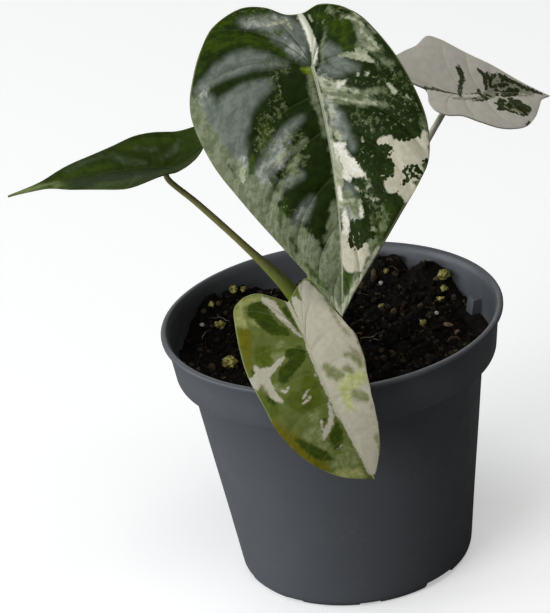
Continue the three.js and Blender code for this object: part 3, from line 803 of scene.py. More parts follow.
def painted(flat, strokes):
    """How deep each flat point lies inside the strokes, in millimetres, negative outside.
    A stroke is a line of points with a half width at each."""
    depth = np.full(len(flat), -4.0)
    for stroke in strokes:
        points = np.array(stroke if len(stroke) > 1 else [stroke[0], stroke[0]], float)
        for start, end in zip(points[:-1], points[1:]):
            along = end[:2] - start[:2]
            share = np.clip((flat - start[:2]) @ along / max(along @ along, 1e-9), 0, 1)
            nearest = start[:2] + share[:, None] * along
            half_width = start[2] + share * (end[2] - start[2])
            depth = np.maximum(depth, half_width - np.linalg.norm(flat - nearest, axis=1))
    return depth


def blade_roots(blade, nearest):
    """How far along the midrib each point's nearest vein starts."""
    return np.array(blade["vein_roots"], float)[nearest.astype(int)]


def make_blade(name, blade, columns, rows_per_vein, strokes):
    """The blade as a closed mesh. Its attributes carry the flat place and the painted depths."""
    last = len(blade["vein_roots"]) - 1
    bpy.ops.mesh.primitive_grid_add(x_subdivisions=2 * columns, y_subdivisions=last * rows_per_vein, size=2)
    piece = bpy.context.active_object
    mesh = piece.data
    start = np.array([v.co for v in mesh.vertices])
    side_share = np.abs(start[:, 0])
    side_share[side_share < 1e-6] = 0
    s = side_share ** 1.25
    v = (start[:, 1] + 1) / 2 * last
    v = np.where(np.abs(v - np.round(v)) < 1e-5, np.round(v), v)
    low_flat = vein_point(blade, blade["low"], -1, v, s)
    high_flat = vein_point(blade, blade["high"], 1, v, s)
    low = start[:, 0] < 0
    flat = np.where(low[:, None], low_flat, high_flat)
    x, y = flat[:, 0], flat[:, 1]

    nearest = np.round(v)
    on_low = vein_point(blade, blade["low"], -1, nearest, s)
    on_high = vein_point(blade, blade["high"], 1, nearest, s)
    vein_gap = np.linalg.norm(flat - np.where(low[:, None], on_low, on_high), axis=1)
    real_vein = (nearest > 0) & (nearest < last)
    vein_gap = np.where(real_vein, vein_gap, 9.0)
    half_vein = 0.42 * (1 - 0.72 * s)
    rib_half = blade.get("rib_width", 1) * (0.55 * np.clip(1 - y / blade["length"], 0, 1) + 0.14)
    up_lobe = np.clip(y / blade["notch"][1], 0, 1)
    rib_gap = np.abs(x - midrib_x(blade, y) - 4 * blade["rib_bow"] * up_lobe * (1 - up_lobe))

    between = v - np.floor(v)
    pad = (4 * between * (1 - between)) ** pad_power * np.sqrt(4 * s * (1 - s))
    wave = np.where(low, blade["wave"][0], blade["wave"][1]) * np.sin(2.6 * v + 1) * s ** 3
    swell = np.sin(np.pi * v / last)
    wave = wave + np.where(low, 0, blade.get("ruffle", 0)) * np.sin(10.5 * v + 1.4 * np.sin(2.3 * v)) * s ** 5
    relief = swell * (blade["puff"] * pad + wave)
    fade = np.clip(s / 0.15, 0, 1) * np.clip((1 - s) / 0.12, 0, 1)
    relief += fade * (blade["unevenness"] * noise_at(flat, 8.0, 3.7) + 0.07 * noise_at(flat, 2.6, 9.1))
    groove = np.where(real_vein, np.exp(-(vein_gap / 0.8) ** 2), 0) * np.clip(s / 0.08, 0, 1)
    groove = groove * np.where(blade_roots(blade, nearest) > 0, 1, 0.3) * blade.get("grooved", 1)
    relief -= 0.1 * groove * (1 - 0.8 * s)
    rib_taper = np.clip(1 - np.abs(y) / blade["length"], 0, 1)
    relief += 0.25 * np.exp(-(rib_gap / (0.9 * rib_half + 0.15)) ** 2) * rib_taper

    middle, out = blade_surface(blade, x, y), blade_normal(blade, x, y)
    edge_share = 1 - 0.42 * s ** 6
    upper = middle + out * (relief + blade_thickness / 2 * edge_share)[:, None]
    depth = blade_thickness * edge_share + rib_depth(blade, x, y) + 0.3 * groove * (1 - s)
    mesh.vertices.foreach_set("co", upper.astype(np.float32).ravel())

    attributes = {"vein": half_vein - vein_gap, "rib": rib_half - rib_gap, "edge": s, "span": v}
    for label, lines in strokes.items():
        attributes[label] = painted(flat, lines)
    for label, values in attributes.items():
        made = mesh.attributes.new(label, "FLOAT", "POINT")
        made.data.foreach_set("value", np.asarray(values, np.float32))
    vectors = {"flat": np.column_stack([flat, np.zeros(len(flat))]), "above": placed(upper),
               "below": placed(upper - out * depth[:, None])}
    for label, values in vectors.items():
        made = mesh.attributes.new(label, "FLOAT_VECTOR", "POINT")
        made.data.foreach_set("vector", values.astype(np.float32).ravel())

    # Joined and thickened in millimetres, then both faces go to their own places in metres.
    with editing(piece):
        bpy.ops.mesh.remove_doubles(threshold=0.00005)
    faces_out = np.mean([p.normal @ Vector(out.mean(axis=0)) for p in mesh.polygons])
    if faces_out < 0:
        with editing(piece):
            bpy.ops.mesh.flip_normals()
    count = len(mesh.vertices)
    shell = piece.modifiers.new("thickness", "SOLIDIFY")
    shell.thickness = 1
    shell.offset = -1
    shell.material_offset = 1
    shell.material_offset_rim = 0
    bpy.ops.object.modifier_apply(modifier=shell.name)
    ends = np.empty((2, 2 * count, 3), np.float32)
    for label, places in zip(("above", "below"), ends):
        values = np.empty(6 * count, np.float32)
        mesh.attributes[label].data.foreach_get("vector", values)
        places[:] = values.reshape(-1, 3)
        mesh.attributes.remove(mesh.attributes[label])
    mesh.vertices.foreach_set("co", np.concatenate([ends[0, :count], ends[1, count:]]).ravel())
    mesh.update()
    bpy.ops.object.shade_smooth_by_angle(angle=math.radians(60))
    piece.name = mesh.name = name
    return piece


# A patch of leaf colour: the painted depth, curled at its edge by noise or by round lobes.
patch_group, patch_in, patch_out = effect_group(
    "leaf_patch",
    [("Vector", "NodeSocketVector", None), ("Depth", "NodeSocketFloat", 0.0),
     ("Curl", "NodeSocketFloat", 1.0), ("Grain", "NodeSocketFloat", 1.0), ("Edge", "NodeSocketFloat", 0.2),
     ("Cap", "NodeSocketFloat", 4.0), ("Lobes", "NodeSocketFloat", 0.0)],
    [("Mask", "NodeSocketFloat")])
patch_ends = patch_in.outputs
curl_noise = node(patch_group, "ShaderNodeTexNoise", Vector=patch_ends["Vector"], Scale=patch_ends["Grain"],
                  Detail=4.0, Roughness=0.62, Distortion=0.4).outputs[0]
curls = product(patch_group, math_node(patch_group, "SUBTRACT", curl_noise, 0.5), 4.0)
lobe_cells = node(patch_group, "ShaderNodeTexVoronoi", {"voronoi_dimensions": "2D"},
                  Vector=patch_ends["Vector"], Scale=patch_ends["Grain"])
lobe_height = math_node(patch_group, "SUBTRACT", 0.4, lobe_cells.outputs["Distance"])
lobes = product(patch_group, lobe_height, 2.6)
swing = node(patch_group, "ShaderNodeMix", i0=patch_ends["Lobes"], i2=curls, i3=lobes).outputs[0]
capped = math_node(patch_group, "MINIMUM", patch_ends["Depth"], patch_ends["Cap"])
curled = math_node(patch_group, "MULTIPLY_ADD", swing, patch_ends["Curl"], capped)
low_edge = product(patch_group, patch_ends["Edge"], -1.0)
patch_group.links.new(ramped(patch_group, curled, low_edge, patch_ends["Edge"]), patch_out.inputs[0])

# The fine net between the veins: small cells with raised lines, as a height and a tone.
net_group, net_in, net_out = effect_group(
    "leaf_net",
    [("Vector", "NodeSocketVector", None)],
    [("Height", "NodeSocketFloat"), ("Tone", "NodeSocketFloat")])
warp = node(net_group, "ShaderNodeTexNoise", Vector=net_in.outputs[0], Scale=0.5, Detail=2.0)
shift = node(net_group, "ShaderNodeVectorMath", {"operation": "SCALE"}, i0=warp.outputs["Color"], Scale=1.6)
moved = node(net_group, "ShaderNodeVectorMath", {"operation": "ADD"},
             i0=net_in.outputs[0], i1=shift.outputs[0])
cells = node(net_group, "ShaderNodeTexVoronoi", {"feature": "DISTANCE_TO_EDGE"},
             Vector=moved.outputs[0], Scale=0.55)
lines = ramped(net_group, cells.outputs["Distance"], 0.0, 0.12, 1.0, 0.0)
fine = grain_noise(net_group, net_in.outputs[0], 5.0, 3)
net_height = math_node(net_group, "SUBTRACT", product(net_group, fine, 0.8), product(net_group, lines, 0.35))
net_group.links.new(net_height, net_out.inputs["Height"])
net_group.links.new(grain_noise(net_group, net_in.outputs[0], 0.35, 4), net_out.inputs["Tone"])


def layer(paint, pale, deep, curl, grain, edge, cover, cap=4.0, lobes=0.0):
    """A layer of leaf paint: the name of its strokes, two tones, how far and how finely its edge
    curls, how soft the edge is, how much it covers, and the depth that it is capped at. Lobes
    from 0 to 1 make the curls round."""
    return paint, pale, deep, curl, grain, edge, cover, cap, lobes


def leaf_material(name, ground, layers, veins, gloss, rim=tint(150, 152, 104)):
    """A leaf face: two ground tones, then painted layers in order, then the side veins and the
    midrib, each with a tone and how much it covers."""
    material, tree, shader = new_material(name)
    flat = attribute(tree, "flat", "Vector")
    net = node(tree, "ShaderNodeGroup", {"node_tree": net_group}, Vector=flat)
    across = product(tree, attribute(tree, "span"), 9.0)
    outward = product(tree, attribute(tree, "edge"), 7.0)
    with_veins = node(tree, "ShaderNodeCombineXYZ", X=across, Y=outward).outputs[0]
    streaks = grain_noise(tree, with_veins, 1.0, 5, 0.6, 0.62)
    blots = grain_noise(tree, flat, 0.42, 6, 0.5, 0.66)
    tone = math_node(tree, "ADD", product(tree, streaks, 0.5), product(tree, blots, 0.5))
    mottle = ramped(tree, tone, 0.41, 0.59)
    colour = blended(tree, ramped(tree, net.outputs["Tone"], 0.3, 0.7), *ground)
    rim_mask = ramped(tree, attribute(tree, "edge"), 0.975, 0.995)
    colour = blended(tree, product(tree, rim_mask, 0.6), colour, rim)
    for label, shade, deep_shade, curl, grain_size, edge, cover, cap, lobed in layers:
        depth = attribute(tree, label)
        mask = node(tree, "ShaderNodeGroup", {"node_tree": patch_group}, Vector=flat, Depth=depth,
                    Curl=curl, Grain=grain_size, Edge=edge, Cap=cap, Lobes=lobed).outputs[0]
        layer_colour = blended(tree, mottle, deep_shade, shade)
        colour = blended(tree, product(tree, mask, cover), colour, layer_colour)
    vein_tone, vein_cover, rib_tone, rib_cover = veins
    for line, line_tone, line_cover in (("vein", vein_tone, vein_cover), ("rib", rib_tone, rib_cover)):
        mask = ramped(tree, attribute(tree, line), -0.25, 0.2)
        colour = blended(tree, product(tree, mask, line_cover), colour, line_tone)
    tree.links.new(colour, shader.inputs["Base Color"])
    rough = ramped(tree, grain_noise(tree, flat, 1.4, 4), 0.3, 0.7, gloss - 0.05, gloss + 0.06)
    tree.links.new(rough, shader.inputs["Roughness"])
    bumped(tree, shader, net.outputs["Height"], 0.35, 0.0002)
    shader.inputs["Specular IOR Level"].default_value = 0.05
    return material


def finish_blade(piece, node_name, upper, lower):
    """Gives a blade the materials of its two faces, and its node."""
    piece.data.materials.clear()
    piece.data.materials.append(upper)
    piece.data.materials.append(lower)
    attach(piece, "root")
    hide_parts(node_name)


# ---- Centre blade ----
# The largest blade faces forward. Its left half is velvety dark green with a painted silvery sheen on its
# quilting, painted highlights and a sage margin. Its right half is broken into cream, sage and curly dark
# green.

centre = {
    "junction": (3.4, -6, 188.2), "heading": -92.8, "pitch": -52.3, "roll": -14, "length": 84.2,
    "notch": (-3.1, -19.2), "rib_bow": 2.6, "sway": 3.9, "droop": 0.15, "lobe_droop": 0.2,
    "cup": -0.4, "puff": 1.5, "wave": (0.5, 0.6), "unevenness": 0.22,
    "vein_roots": [0, 0, 0, 0, 10, 22, 38, 54, 69, 84.2],
    "low": {
        "fold": (13, 10),
        "outline": [(-3.1, -19.2), (-8.2, -19.5), (-15.5, -23), (-24, -23.6), (-33.3, -18.6), (-38, -11),
                    (-40.8, -4), (-43.4, 6), (-42.6, 15), (-37, 29), (-27.7, 43.2), (-16.6, 58.8),
                    (-6.7, 73.3), (0, 84.2)],
        "reach": [0, 2.1, 4.2, 6.9, 9.6, 10.6, 11.4, 12.1, 12.7, 13],
    },
    "high": {
        "fold": (13, 10),
        "outline": [(-3.1, -19.2), (-0.6, -19.5), (4, -20.8), (9.5, -19.6), (14.7, -16.8), (20.9, -11.3),
                    (29.3, 1.2), (34.7, 13.6), (37.6, 25), (37, 36.5), (33, 44.6), (22.8, 57),
                    (10.3, 71.4), (3.6, 79.7), (0, 84.2)],
        "reach": [0, 2.2, 4, 6.4, 9.1, 10.3, 11.4, 12.3, 13.2, 14],
    },
}
centre_strokes = {
    "bright": [
        [(-36, -12, 3), (-30, -12.5, 3.2), (-24, -12.2, 2.6), (-17, -10.5, 2), (-11, -7, 1.6),
         (-6, -3, 1.2)],
        [(-33, -17, 2), (-27, -20, 1.6), (-20, -22, 1.2), (-14, -20.6, 1.2)],
        [(-37.5, -6, 1.4), (-40, -1.5, 1)], [(8, -12, 2.6), (12, -11, 3), (14, -8, 2.4), (12, -5, 1.4)],
        [(3, -17, 1.6), (6, -16, 1.8)], [(16, -3, 1), (12, -3.2, 1)],
        [(22, 52, 1.6), (18, 58, 2), (15, 62, 1.6)],
        [(-13.4, 44, 0.8), (-13.6, 48, 0.9), (-14.6, 54, 0.8)], [(-34, 26, 0.8), (-32, 31, 1)],
        [(-18, 18, 1.4), (-17, 22, 1.6), (-19, 26, 1.2)],
    ],
    # These strokes paint a silvery sheen on both halves: a painted reflection of the soft lights on the
    # quilted pads.
    "painted_sheen": [
        [(-40, 2.5, 1.2), (-36, 0, 2), (-31, -2.4, 3), (-26, -4, 3.8), (-21, -4.6, 3.6),
         (-16, -3.6, 2.6), (-12, -2.4, 1.4), (-9, -1.6, 0.7)],
        [(-16, 5, 2.2), (-20, 6.5, 3.6), (-24, 8.5, 5), (-28, 12, 6.4), (-30, 18, 6.6),
         (-30.5, 24, 5.6), (-29, 30, 4)],
        [(-37, 8, 3.4), (-36, 14, 4)],
        [(-5, 17.4, 0.8), (-8, 19.4, 1.6), (-11, 22.4, 2.2), (-13.8, 26, 2.8), (-16.6, 30, 3.3),
         (-19.4, 33.6, 3.4), (-22, 37.4, 2.6)],
        [(-23, -18.8, 1.2), (-18, -18, 2.4), (-13, -16.4, 3.6), (-9, -14, 5), (-5.6, -11, 5),
         (-4.4, -6.6, 3.8), (-2.6, -3, 1.8)],
        [(-4.4, 44.4, 0.8), (-6.6, 47, 1.6), (-8.6, 49.6, 2), (-10.6, 52, 1.6)],
        [(-8, 36.2, 1.6), (-11, 37.6, 1.8), (-13.6, 39, 1.4)],
        [(4.6, -5, 1), (6.6, -4, 2.2), (8.6, -1.6, 2.6), (10, 1.4, 2.4), (13, 3, 1.8),
         (16.6, 4.4, 0.9)],
        [(4, 1, 1.2), (7, 3.4, 1.6), (11, 5, 1)],
        [(6, 17, 2.4), (7, 20, 3.2), (8.4, 23, 3), (9.6, 25.6, 2)], [(11, 27, 1.4), (12, 30, 1)],
        [(6.8, 30.6, 0.9)], [(8, 42.4, 1.6), (9.4, 44.4, 1.8)], [(9.2, 50.8, 2)],
    ],
    "sage": [
        [(-42, 5, 1.4), (-41, 10, 2.6), (-39.4, 16, 3.4), (-37, 22, 4), (-34, 28, 4.4), (-30.6, 33, 5),
         (-27, 38, 6), (-23.4, 44, 6.6), (-20, 50, 6), (-16.6, 55, 5.4)],
        [(-12, 57, 5), (-9, 62, 5.4), (-6, 67, 5), (-3.6, 72, 4), (-1.4, 78, 2.8)],
        [(2.6, 47, 0.8), (1.8, 52, 1.8), (1, 58, 2.8), (0, 64, 3.6), (-0.6, 70, 3.6), (-0.6, 76, 3.2)],
        [(-21, 41, 4), (-17.4, 44, 2)],
        [(-1, 1, 0.8), (-1.2, 6, 1), (-0.6, 10, 1), (0.2, 14, 1), (1.2, 19, 0.8), (2.2, 24, 0.5)],
        [(-8, 36, 1), (-10.6, 33.4, 1.6), (-7.6, 30.6, 1.4)],
        [(-9, 28, 1.4), (-6, 26, 1), (-4, 24.8, 0.5)], [(-15.6, 42.6, 1.6), (-14, 38.6, 1)],
        [(17.8, -10, 1), (19.4, -7.6, 1.8), (20.6, -4.6, 2.6), (22.6, -1.6, 2)], [(17.8, -3.2, 1)],
        [(24.6, -1, 1)], [(9, -16.8, 0.7), (8.2, -17.8, 0.8)],
        [(12, -14.4, 0.7), (16.6, -12.8, 1), (18.6, -11, 1)], [(16.4, -15.4, 0.4), (19.6, -12.2, 0.5)],
        [(6.2, -11.6, 0.3), (5.4, -8, 0.5), (4.6, -4, 0.4), (4, -0.6, 0.3)],
        [(24, 2, 0.5), (26.6, 4.6, 0.5), (28.4, 6.8, 0.3)], [(22.4, 3, 0.2), (24, 6, 0.25)],
        [(26.4, 3, 0.3), (28.6, 5.4, 0.3)],
        [(2, 5, 1.2), (5, 9, 2.6), (8, 12, 2.2), (12, 13.6, 1.8), (17, 15.6, 1.6), (21, 16.8, 1.2),
         (25.6, 18.6, 0.6)],
        [(13, 11, 0.8), (18, 13, 1.3), (22, 13, 1), (25, 13.6, 0.8)], [(8, 8.4, 1.6), (12, 10.4, 0.9)],
        [(4.6, 26, 1), (4.8, 32, 1.1), (5, 40, 1.5)], [(7, 45, 1.6), (9.6, 47.6, 2.4), (11, 51, 2)],
        [(5, 46, 1.2), (4.8, 52, 1.2)], [(36.2, 24, 0.8), (36.6, 27.6, 0.9)],
        [(16, -16, 0.3), (20, -12, 0.3), (24, -6, 0.3)],
        [(14.8, 62, 2.2), (12.6, 66, 2.6), (9.6, 70.6, 2.6), (6.6, 75, 2.2), (3.4, 79.4, 2)],
        [(16.8, 61, 1)], [(18.6, 57.4, 1), (20.4, 54, 0.7)],
    ],
    "speckled": [
        [(15, 43, 1.6), (17, 48, 2.6), (18, 54, 2.4), (15.6, 58, 1.6)],
        [(15, 20.4, 1.2), (18, 22.6, 1.6), (22, 24.6, 1.4)], [(30, 10, 1), (32, 17, 1.6)],
        [(24, 11, 0.8), (27, 15.6, 1.8), (25, 18, 1)], [(8, -17.6, 1), (12, -16, 1)],
        [(-12, 11, 1.6), (-12, 14, 2)], [(-17, 17, 2.6), (-17.6, 23, 2.6), (-19, 28, 1.6)],
        [(-8, 25, 3), (-8, 31, 3.4), (-11, 36, 2)], [(-25, -20.6, 1.4), (-14, -20.6, 1.6)],
        [(-15, -14.5, 1.6), (-10, -11.4, 1.8)], [(-13, 5, 1.6), (-13, 1, 1)],
        [(-14, -3, 1.6), (-9, 0, 1.4)],
    ],
    # These strokes paint soft whitish grey: pale patches where the sheen meets the sage, and painted
    # highlights on the left half and beside the top of the midrib.
    "mist_and_highlight": [
        [(-27, 29, 1.8), (-27, 36, 2.4)], [(-11, 27, 1.8), (-13, 29.4, 2.2), (-15, 31.4, 2)],
        [(-21, 39, 2.6), (-18, 37.6, 2)], [(-24, 42, 2), (-20, 48, 2)],
        [(2.4, 3, 0.8), (4.4, 6.6, 1.4), (7, 9, 1.6), (10, 9.4, 1)],
        [(3.4, 10.6, 1), (5.2, 14, 1.8), (6, 18, 1.6), (6.2, 22.4, 1.6), (8, 25.6, 1.4)],
        [(-27, 38, 1.8), (-22, 45, 2.4), (-18, 52, 2.2)], [(-19, 32, 1.5), (-22, 36.4, 1.4)],
        [(-10, 22.4, 0.9), (-14, 26.4, 1.3)], [(7.4, 48, 1.8), (10, 49.6, 2), (10, 52.6, 1.6)],
        [(4.4, 28, 0.8), (4.8, 34, 1), (5.6, 38, 1.4), (5, 42, 1)],
        [(6.4, 46.6, 1.6), (9, 47.6, 1.6), (11.6, 48.6, 1.2)], [(19.4, -6.6, 1), (22, -3, 1.2)],
        [(13, 62.6, 1), (11, 68, 1.6), (8, 72.6, 1.4)], [(2, 56, 1.6), (0.8, 61, 2), (0.4, 67, 2)],
        [(-4, -4.6, 1.6), (-6, -7, 1.6)], [(-8, 59, 2.4), (-6, 64, 1.6)], [(-40, 12, 1), (-37, 22, 1)],
        [(-38, 3, 1.4), (-40, 8, 1.2)], [(-22, -17.6, 1), (-12, -17.6, 1.6)],
        [(-7, 47.6, 0.7), (-9, 50.4, 0.7)], [(-12, 38, 0.8)],
    ],
    "pale": [
        # The first two strokes here are painted highlights on the left half; the others are pale leaf.
        [(-27, 31, 0.8), (-27, 35, 1)], [(-12, 28.6, 0.8), (-14.4, 31, 0.8)],
        [(1.4, 3, 0.4), (3, 6.6, 0.6), (5.4, 9, 0.9), (8, 9.4, 1)],
        [(3, 4.6, 0.3), (7, 7.4, 0.5), (9, 7.6, 0.7)],
        [(8.8, 9.4, 0.6), (13, 11, 0.5), (17, 12.8, 0.4), (19, 13.8, 0.2)],
        [(5, 11.4, 0.5), (9, 12.8, 0.4), (13, 14.4, 0.4), (17, 15.6, 0.6), (20.6, 16.8, 0.6),
         (22, 17.2, 0.3)],
        [(2.6, 10, 0.4), (3.2, 15, 0.4), (3.6, 20, 0.4), (4.4, 26, 0.5)],
        [(5.4, 15, 0.6), (5.8, 18, 0.7)], [(6.6, 24, 0.8), (7.6, 26, 0.8)],
        [(10, -1.3, 0.4), (13, -1, 0.8), (16, -0.4, 1.5), (18.6, 0.4, 1.7), (20.6, 1.8, 0.9),
         (22.2, 3.2, 0.3)],
        [(16.4, -1.8, 0.6), (19.6, -1, 0.8)], [(14, -13.6, 0.3), (18.4, -11.6, 0.5), (20, -9.4, 0.5)],
        [(16.6, -14.8, 0.2), (19.4, -12, 0.2)], [(19, -8, 0.4), (21.6, -5, 0.6), (23.4, -2, 0.5)],
        [(21, -1.4, 0.6), (24.4, -0.8, 0.6)], [(19.8, 6.8, 0.7)], [(16.6, 6.6, 0.4)],
        [(24.6, 9.4, 0.4)], [(26.4, 11.8, 0.5), (27.6, 13, 0.9), (28.8, 14.8, 0.6)],
        [(31.8, 16.6, 0.5), (33.2, 17.4, 0.3)], [(31.4, 19, 0.3)], [(34.6, 19.6, 0.3)],
        [(0.4, -17.6, 0.4), (1.2, -15.6, 0.3)], [(15.6, 28.6, 0.5)], [(15.4, 27.4, 0.3)],
        [(-9.6, -17.4, 0.3), (-8.8, -16.4, 0.4), (-7.6, -17, 0.4), (-8, -18.2, 0.3), (-9, -18.4, 0.3)],
        [(-7.4, -16, 0.3), (-6.6, -14.4, 0.3), (-5.8, -12.8, 0.2)],
        [(-14, -15.8, 0.4), (-11.5, -16.4, 0.5), (-10, -16.6, 0.4)], [(-8.6, -10.6, 0.6)],
        [(4.4, 26, 0.8), (5.2, 29, 1.4), (5.6, 33, 1.6), (5.8, 38, 1.6), (4.8, 43, 1.2), (5, 48, 1.2)],
        [(12.2, 47.6, 0.6), (12.4, 51, 0.6), (12, 53, 0.7)], [(7, 47, 0.6), (10, 47.2, 0.6)],
        [(10.8, 43, 0.4), (12.8, 44.8, 0.3)], [(15.6, 40.8, 0.5), (17, 41.8, 0.3)],
        [(16.4, 43.6, 0.3), (15.4, 44.4, 0.3)], [(14.4, 46.2, 0.3), (17, 48.2, 0.5), (19.4, 48.4, 0.3)],
        [(15.6, 57.4, 0.9)], [(10.6, 56.8, 0.6), (10.4, 58, 0.4)],
        [(16, 63.6, 0.5), (12.6, 68.4, 0.8), (8.4, 73.2, 1), (4, 78.6, 1.3), (0.6, 82.4, 1.7)],
        [(-2.4, 77, 0.5), (-0.8, 82, 0.8)],
    ],
    "cream": [
        [(5.6, 57, 1.3), (4.6, 60, 1.8), (4.8, 64, 2.6), (6, 67.4, 3)], [(6.6, 58.4, 1), (7, 62, 1.4)],
        [(7.6, 64, 2.4), (9.8, 65.4, 2.2), (8.6, 68.6, 2)],
        [(8, 60.4, 1.6), (10.2, 61, 1.6), (12, 62.6, 1.2)], [(12, 65, 1.2)],
        [(21.8, 30, 1.4), (25, 29.8, 1.4)],
        [(24.4, 33.4, 2.6), (28, 33.4, 3.6), (33, 33, 3.6), (35.4, 32, 2.4)],
        [(26.6, 37.6, 2.4), (30.4, 37, 3), (34, 36.4, 3)], [(28, 41.6, 3), (32, 41.4, 3)],
        [(24.4, 44.4, 3), (27.6, 45.6, 3)], [(29.6, 47.4, 2.4), (28, 49.4, 1.4)], [(36.4, 29.6, 1.2)],
        [(23.4, 37.6, 2), (22, 41, 1.6)],
    ],
    "white": [
        [(-3.2, -18.6, 1), (-2, -15.6, 1), (-0.4, -12, 1.1), (0.9, -8.6, 1.3), (1.5, -5.4, 1.4),
         (1.4, -2.6, 1), (0.9, -0.4, 0.5)],
        [(9.6, 8.6, 0.9), (11.8, 8, 0.5), (12.6, 7.6, 0.2)], [(9.4, 7.2, 0.4)],
        [(5.8, 28, 0.9), (8.8, 28.6, 1)],
        [(7.2, 29.6, 1.2), (8.8, 33, 2), (10.4, 36, 2.9), (12.4, 38.4, 1.9), (14.6, 39.4, 0.9)],
        [(8.4, 38.6, 1.5), (9.4, 40, 0.9)], [(5.6, 29.6, 0.5), (6, 33, 0.4)],
        [(5, 42.4, 0.6), (5.4, 46, 0.7)], [(6.2, 50.6, 0.9), (6.2, 54, 1.5), (5.6, 56.6, 1.3)],
        [(12.2, 50, 0.4), (12.4, 53, 0.5)],
    ],
    "islands": [
        [(20, 31.8, 1.4), (22, 32, 1.2), (23.8, 32, 1), (25.4, 32.8, 0.8)],
        [(21, 34, 1.7), (23.4, 34, 1.2)], [(20.6, 37, 2.4), (23, 37, 2), (24.2, 38.6, 1.2)],
        [(20, 41, 2.2), (22.4, 40.6, 1.7), (24.2, 41, 1.1)], [(19.2, 45, 1.6), (20, 47.4, 1.4)],
        [(27.4, 29, 0.9), (28.4, 30, 0.7)], [(29.4, 30.2, 0.9), (31, 30.4, 0.9)],
        [(31.6, 28.8, 1.5), (33.8, 29, 1.5), (34.6, 30, 0.7)], [(28, 27.8, 0.9), (30, 28.6, 0.8)],
        [(36, 27.4, 0.6)],
        [(28.4, 40.4, 0.9), (29.8, 40, 0.7), (31.4, 39.6, 0.8), (32.8, 40.4, 0.9), (33.6, 42, 0.8)],
        [(30.4, 41.6, 0.9), (31.6, 42.8, 0.9), (32.6, 43.4, 0.6)],
        [(28.6, 41.8, 0.6), (29.2, 43.4, 0.8), (27.8, 44.6, 0.7)], [(35.6, 38.4, 0.8)],
        [(24.8, 47.4, 0.9), (24.6, 49.4, 1.4), (26, 50.6, 1)],
        [(7.2, 58.4, 1.3), (7, 61, 1), (8.4, 62.2, 1), (10.2, 62.4, 1)],
        [(9, 59, 2), (11.6, 58.4, 2.4)], [(9.6, 55.4, 2), (12.4, 55.6, 2)], [(14.4, 59.4, 1.4)],
        [(9.6, 60.6, 1.2), (12, 60.6, 1)], [(13.6, 34, 1), (15.4, 37.4, 1)], [(16.6, 40, 1)],
        [(12.4, 41.6, 0.7), (14, 42.6, 0.8)], [(12.6, 45.6, 0.6), (13.8, 48, 0.7), (14, 52, 1)],
    ],
    "flecks": [
        [(14, 9, 2), (20, 10, 3), (26, 14, 4), (31, 20, 4.4)],
        [(14, 20, 2), (20, 24, 3.4), (27, 25, 3)], [(24, 2, 1.4), (28, 9, 2.4), (32, 14, 2)],
        [(13, 42, 1.6), (17, 47, 3.6), (18, 54, 3.6), (15, 59, 2)], [(16, 33, 2), (17, 38, 2)],
        [(6, -16, 2.4), (12, -16, 2)], [(-13, 4, 2), (-12, 12, 2.4), (-17, 18, 3), (-18, 25, 3)],
        [(-8, 22, 2), (-7, 29, 3), (-10, 36, 2)], [(-13, 46, 2), (-8, 55, 2)],
    ],
    "dusk": [
        [(2.6, 71.4, 1.2), (5, 71, 1.3), (3.8, 73.6, 1.6), (2.6, 75.8, 1)],
        [(-13, 57, 0.6), (-11.4, 61, 0.6)], [(-9.4, 65.6, 0.6), (-6.4, 70, 0.9), (-4, 74, 0.8)],
        [(17.6, 60, 1), (14.6, 64.6, 0.5)], [(11.6, 67, 0.5), (9, 71, 0.5)],
        [(-31.6, 29, 0.4), (-29.6, 34, 0.5)], [(-15, 46, 0.5), (-16, 52, 0.6)],
        [(-17, 36, 0.6), (-15.6, 40.6, 0.6)], [(-22.6, 28, 1), (-23.4, 33, 1)],
    ],
    "yellow": [[(-3.4, 0.6, 0.5), (-1.6, 1.5, 1.1), (-0.4, 2.6, 0.8)]],
}
centre_layers = [
    layer("bright", tint(54, 74, 8), tint(34, 51, 5), 1.2, 0.2, 1.8, 0.9),
    # This layer is the painted silvery sheen, a painted reflection.
    layer("painted_sheen", tint(121, 127, 119), tint(97, 106, 95), 0.5, 0.26, 1.8, 0.93, 1.8),
    # This layer is pale leaf in part and painted highlights in part.
    layer("mist_and_highlight", tint(172, 175, 166), tint(118, 124, 108), 1.6, 0.4, 1.3, 0.9, 1.2),
    layer("sage", tint(130, 137, 110), tint(96, 106, 74), 1.0, 0.32, 0.9, 0.93, 1.0),
    layer("speckled", tint(108, 114, 82), tint(58, 73, 28), 2.0, 0.5, 0.5, 0.75, -0.3),
    layer("flecks", tint(128, 136, 100), tint(88, 100, 58), 1.7, 0.75, 0.35, 0.8, -0.75),
    layer("dusk", tint(64, 82, 22), tint(44, 60, 12), 0.8, 0.4, 0.7, 0.85),
    layer("pale", tint(182, 184, 160), tint(146, 152, 120), 0.7, 0.5, 0.4, 0.93),
    layer("cream", tint(196, 191, 170), tint(180, 175, 152), 0.32, 0.5, 0.4, 1.0),
    layer("white", tint(228, 225, 212), tint(208, 205, 186), 0.7, 0.6, 0.6, 1.0),
    layer("islands", tint(36, 53, 6), tint(22, 34, 3), 0.62, 0.85, 0.14, 1.0, 0.5, 0.85),
    layer("yellow", tint(132, 148, 22), tint(96, 118, 14), 0.4, 0.6, 1.2, 0.85),
]
centre_top = leaf_material("centre_leaf_face", (tint(20, 32, 3), tint(29, 45, 5)), centre_layers,
                           (tint(112, 126, 88), 0.1, tint(188, 192, 168), 0.8), 0.45)
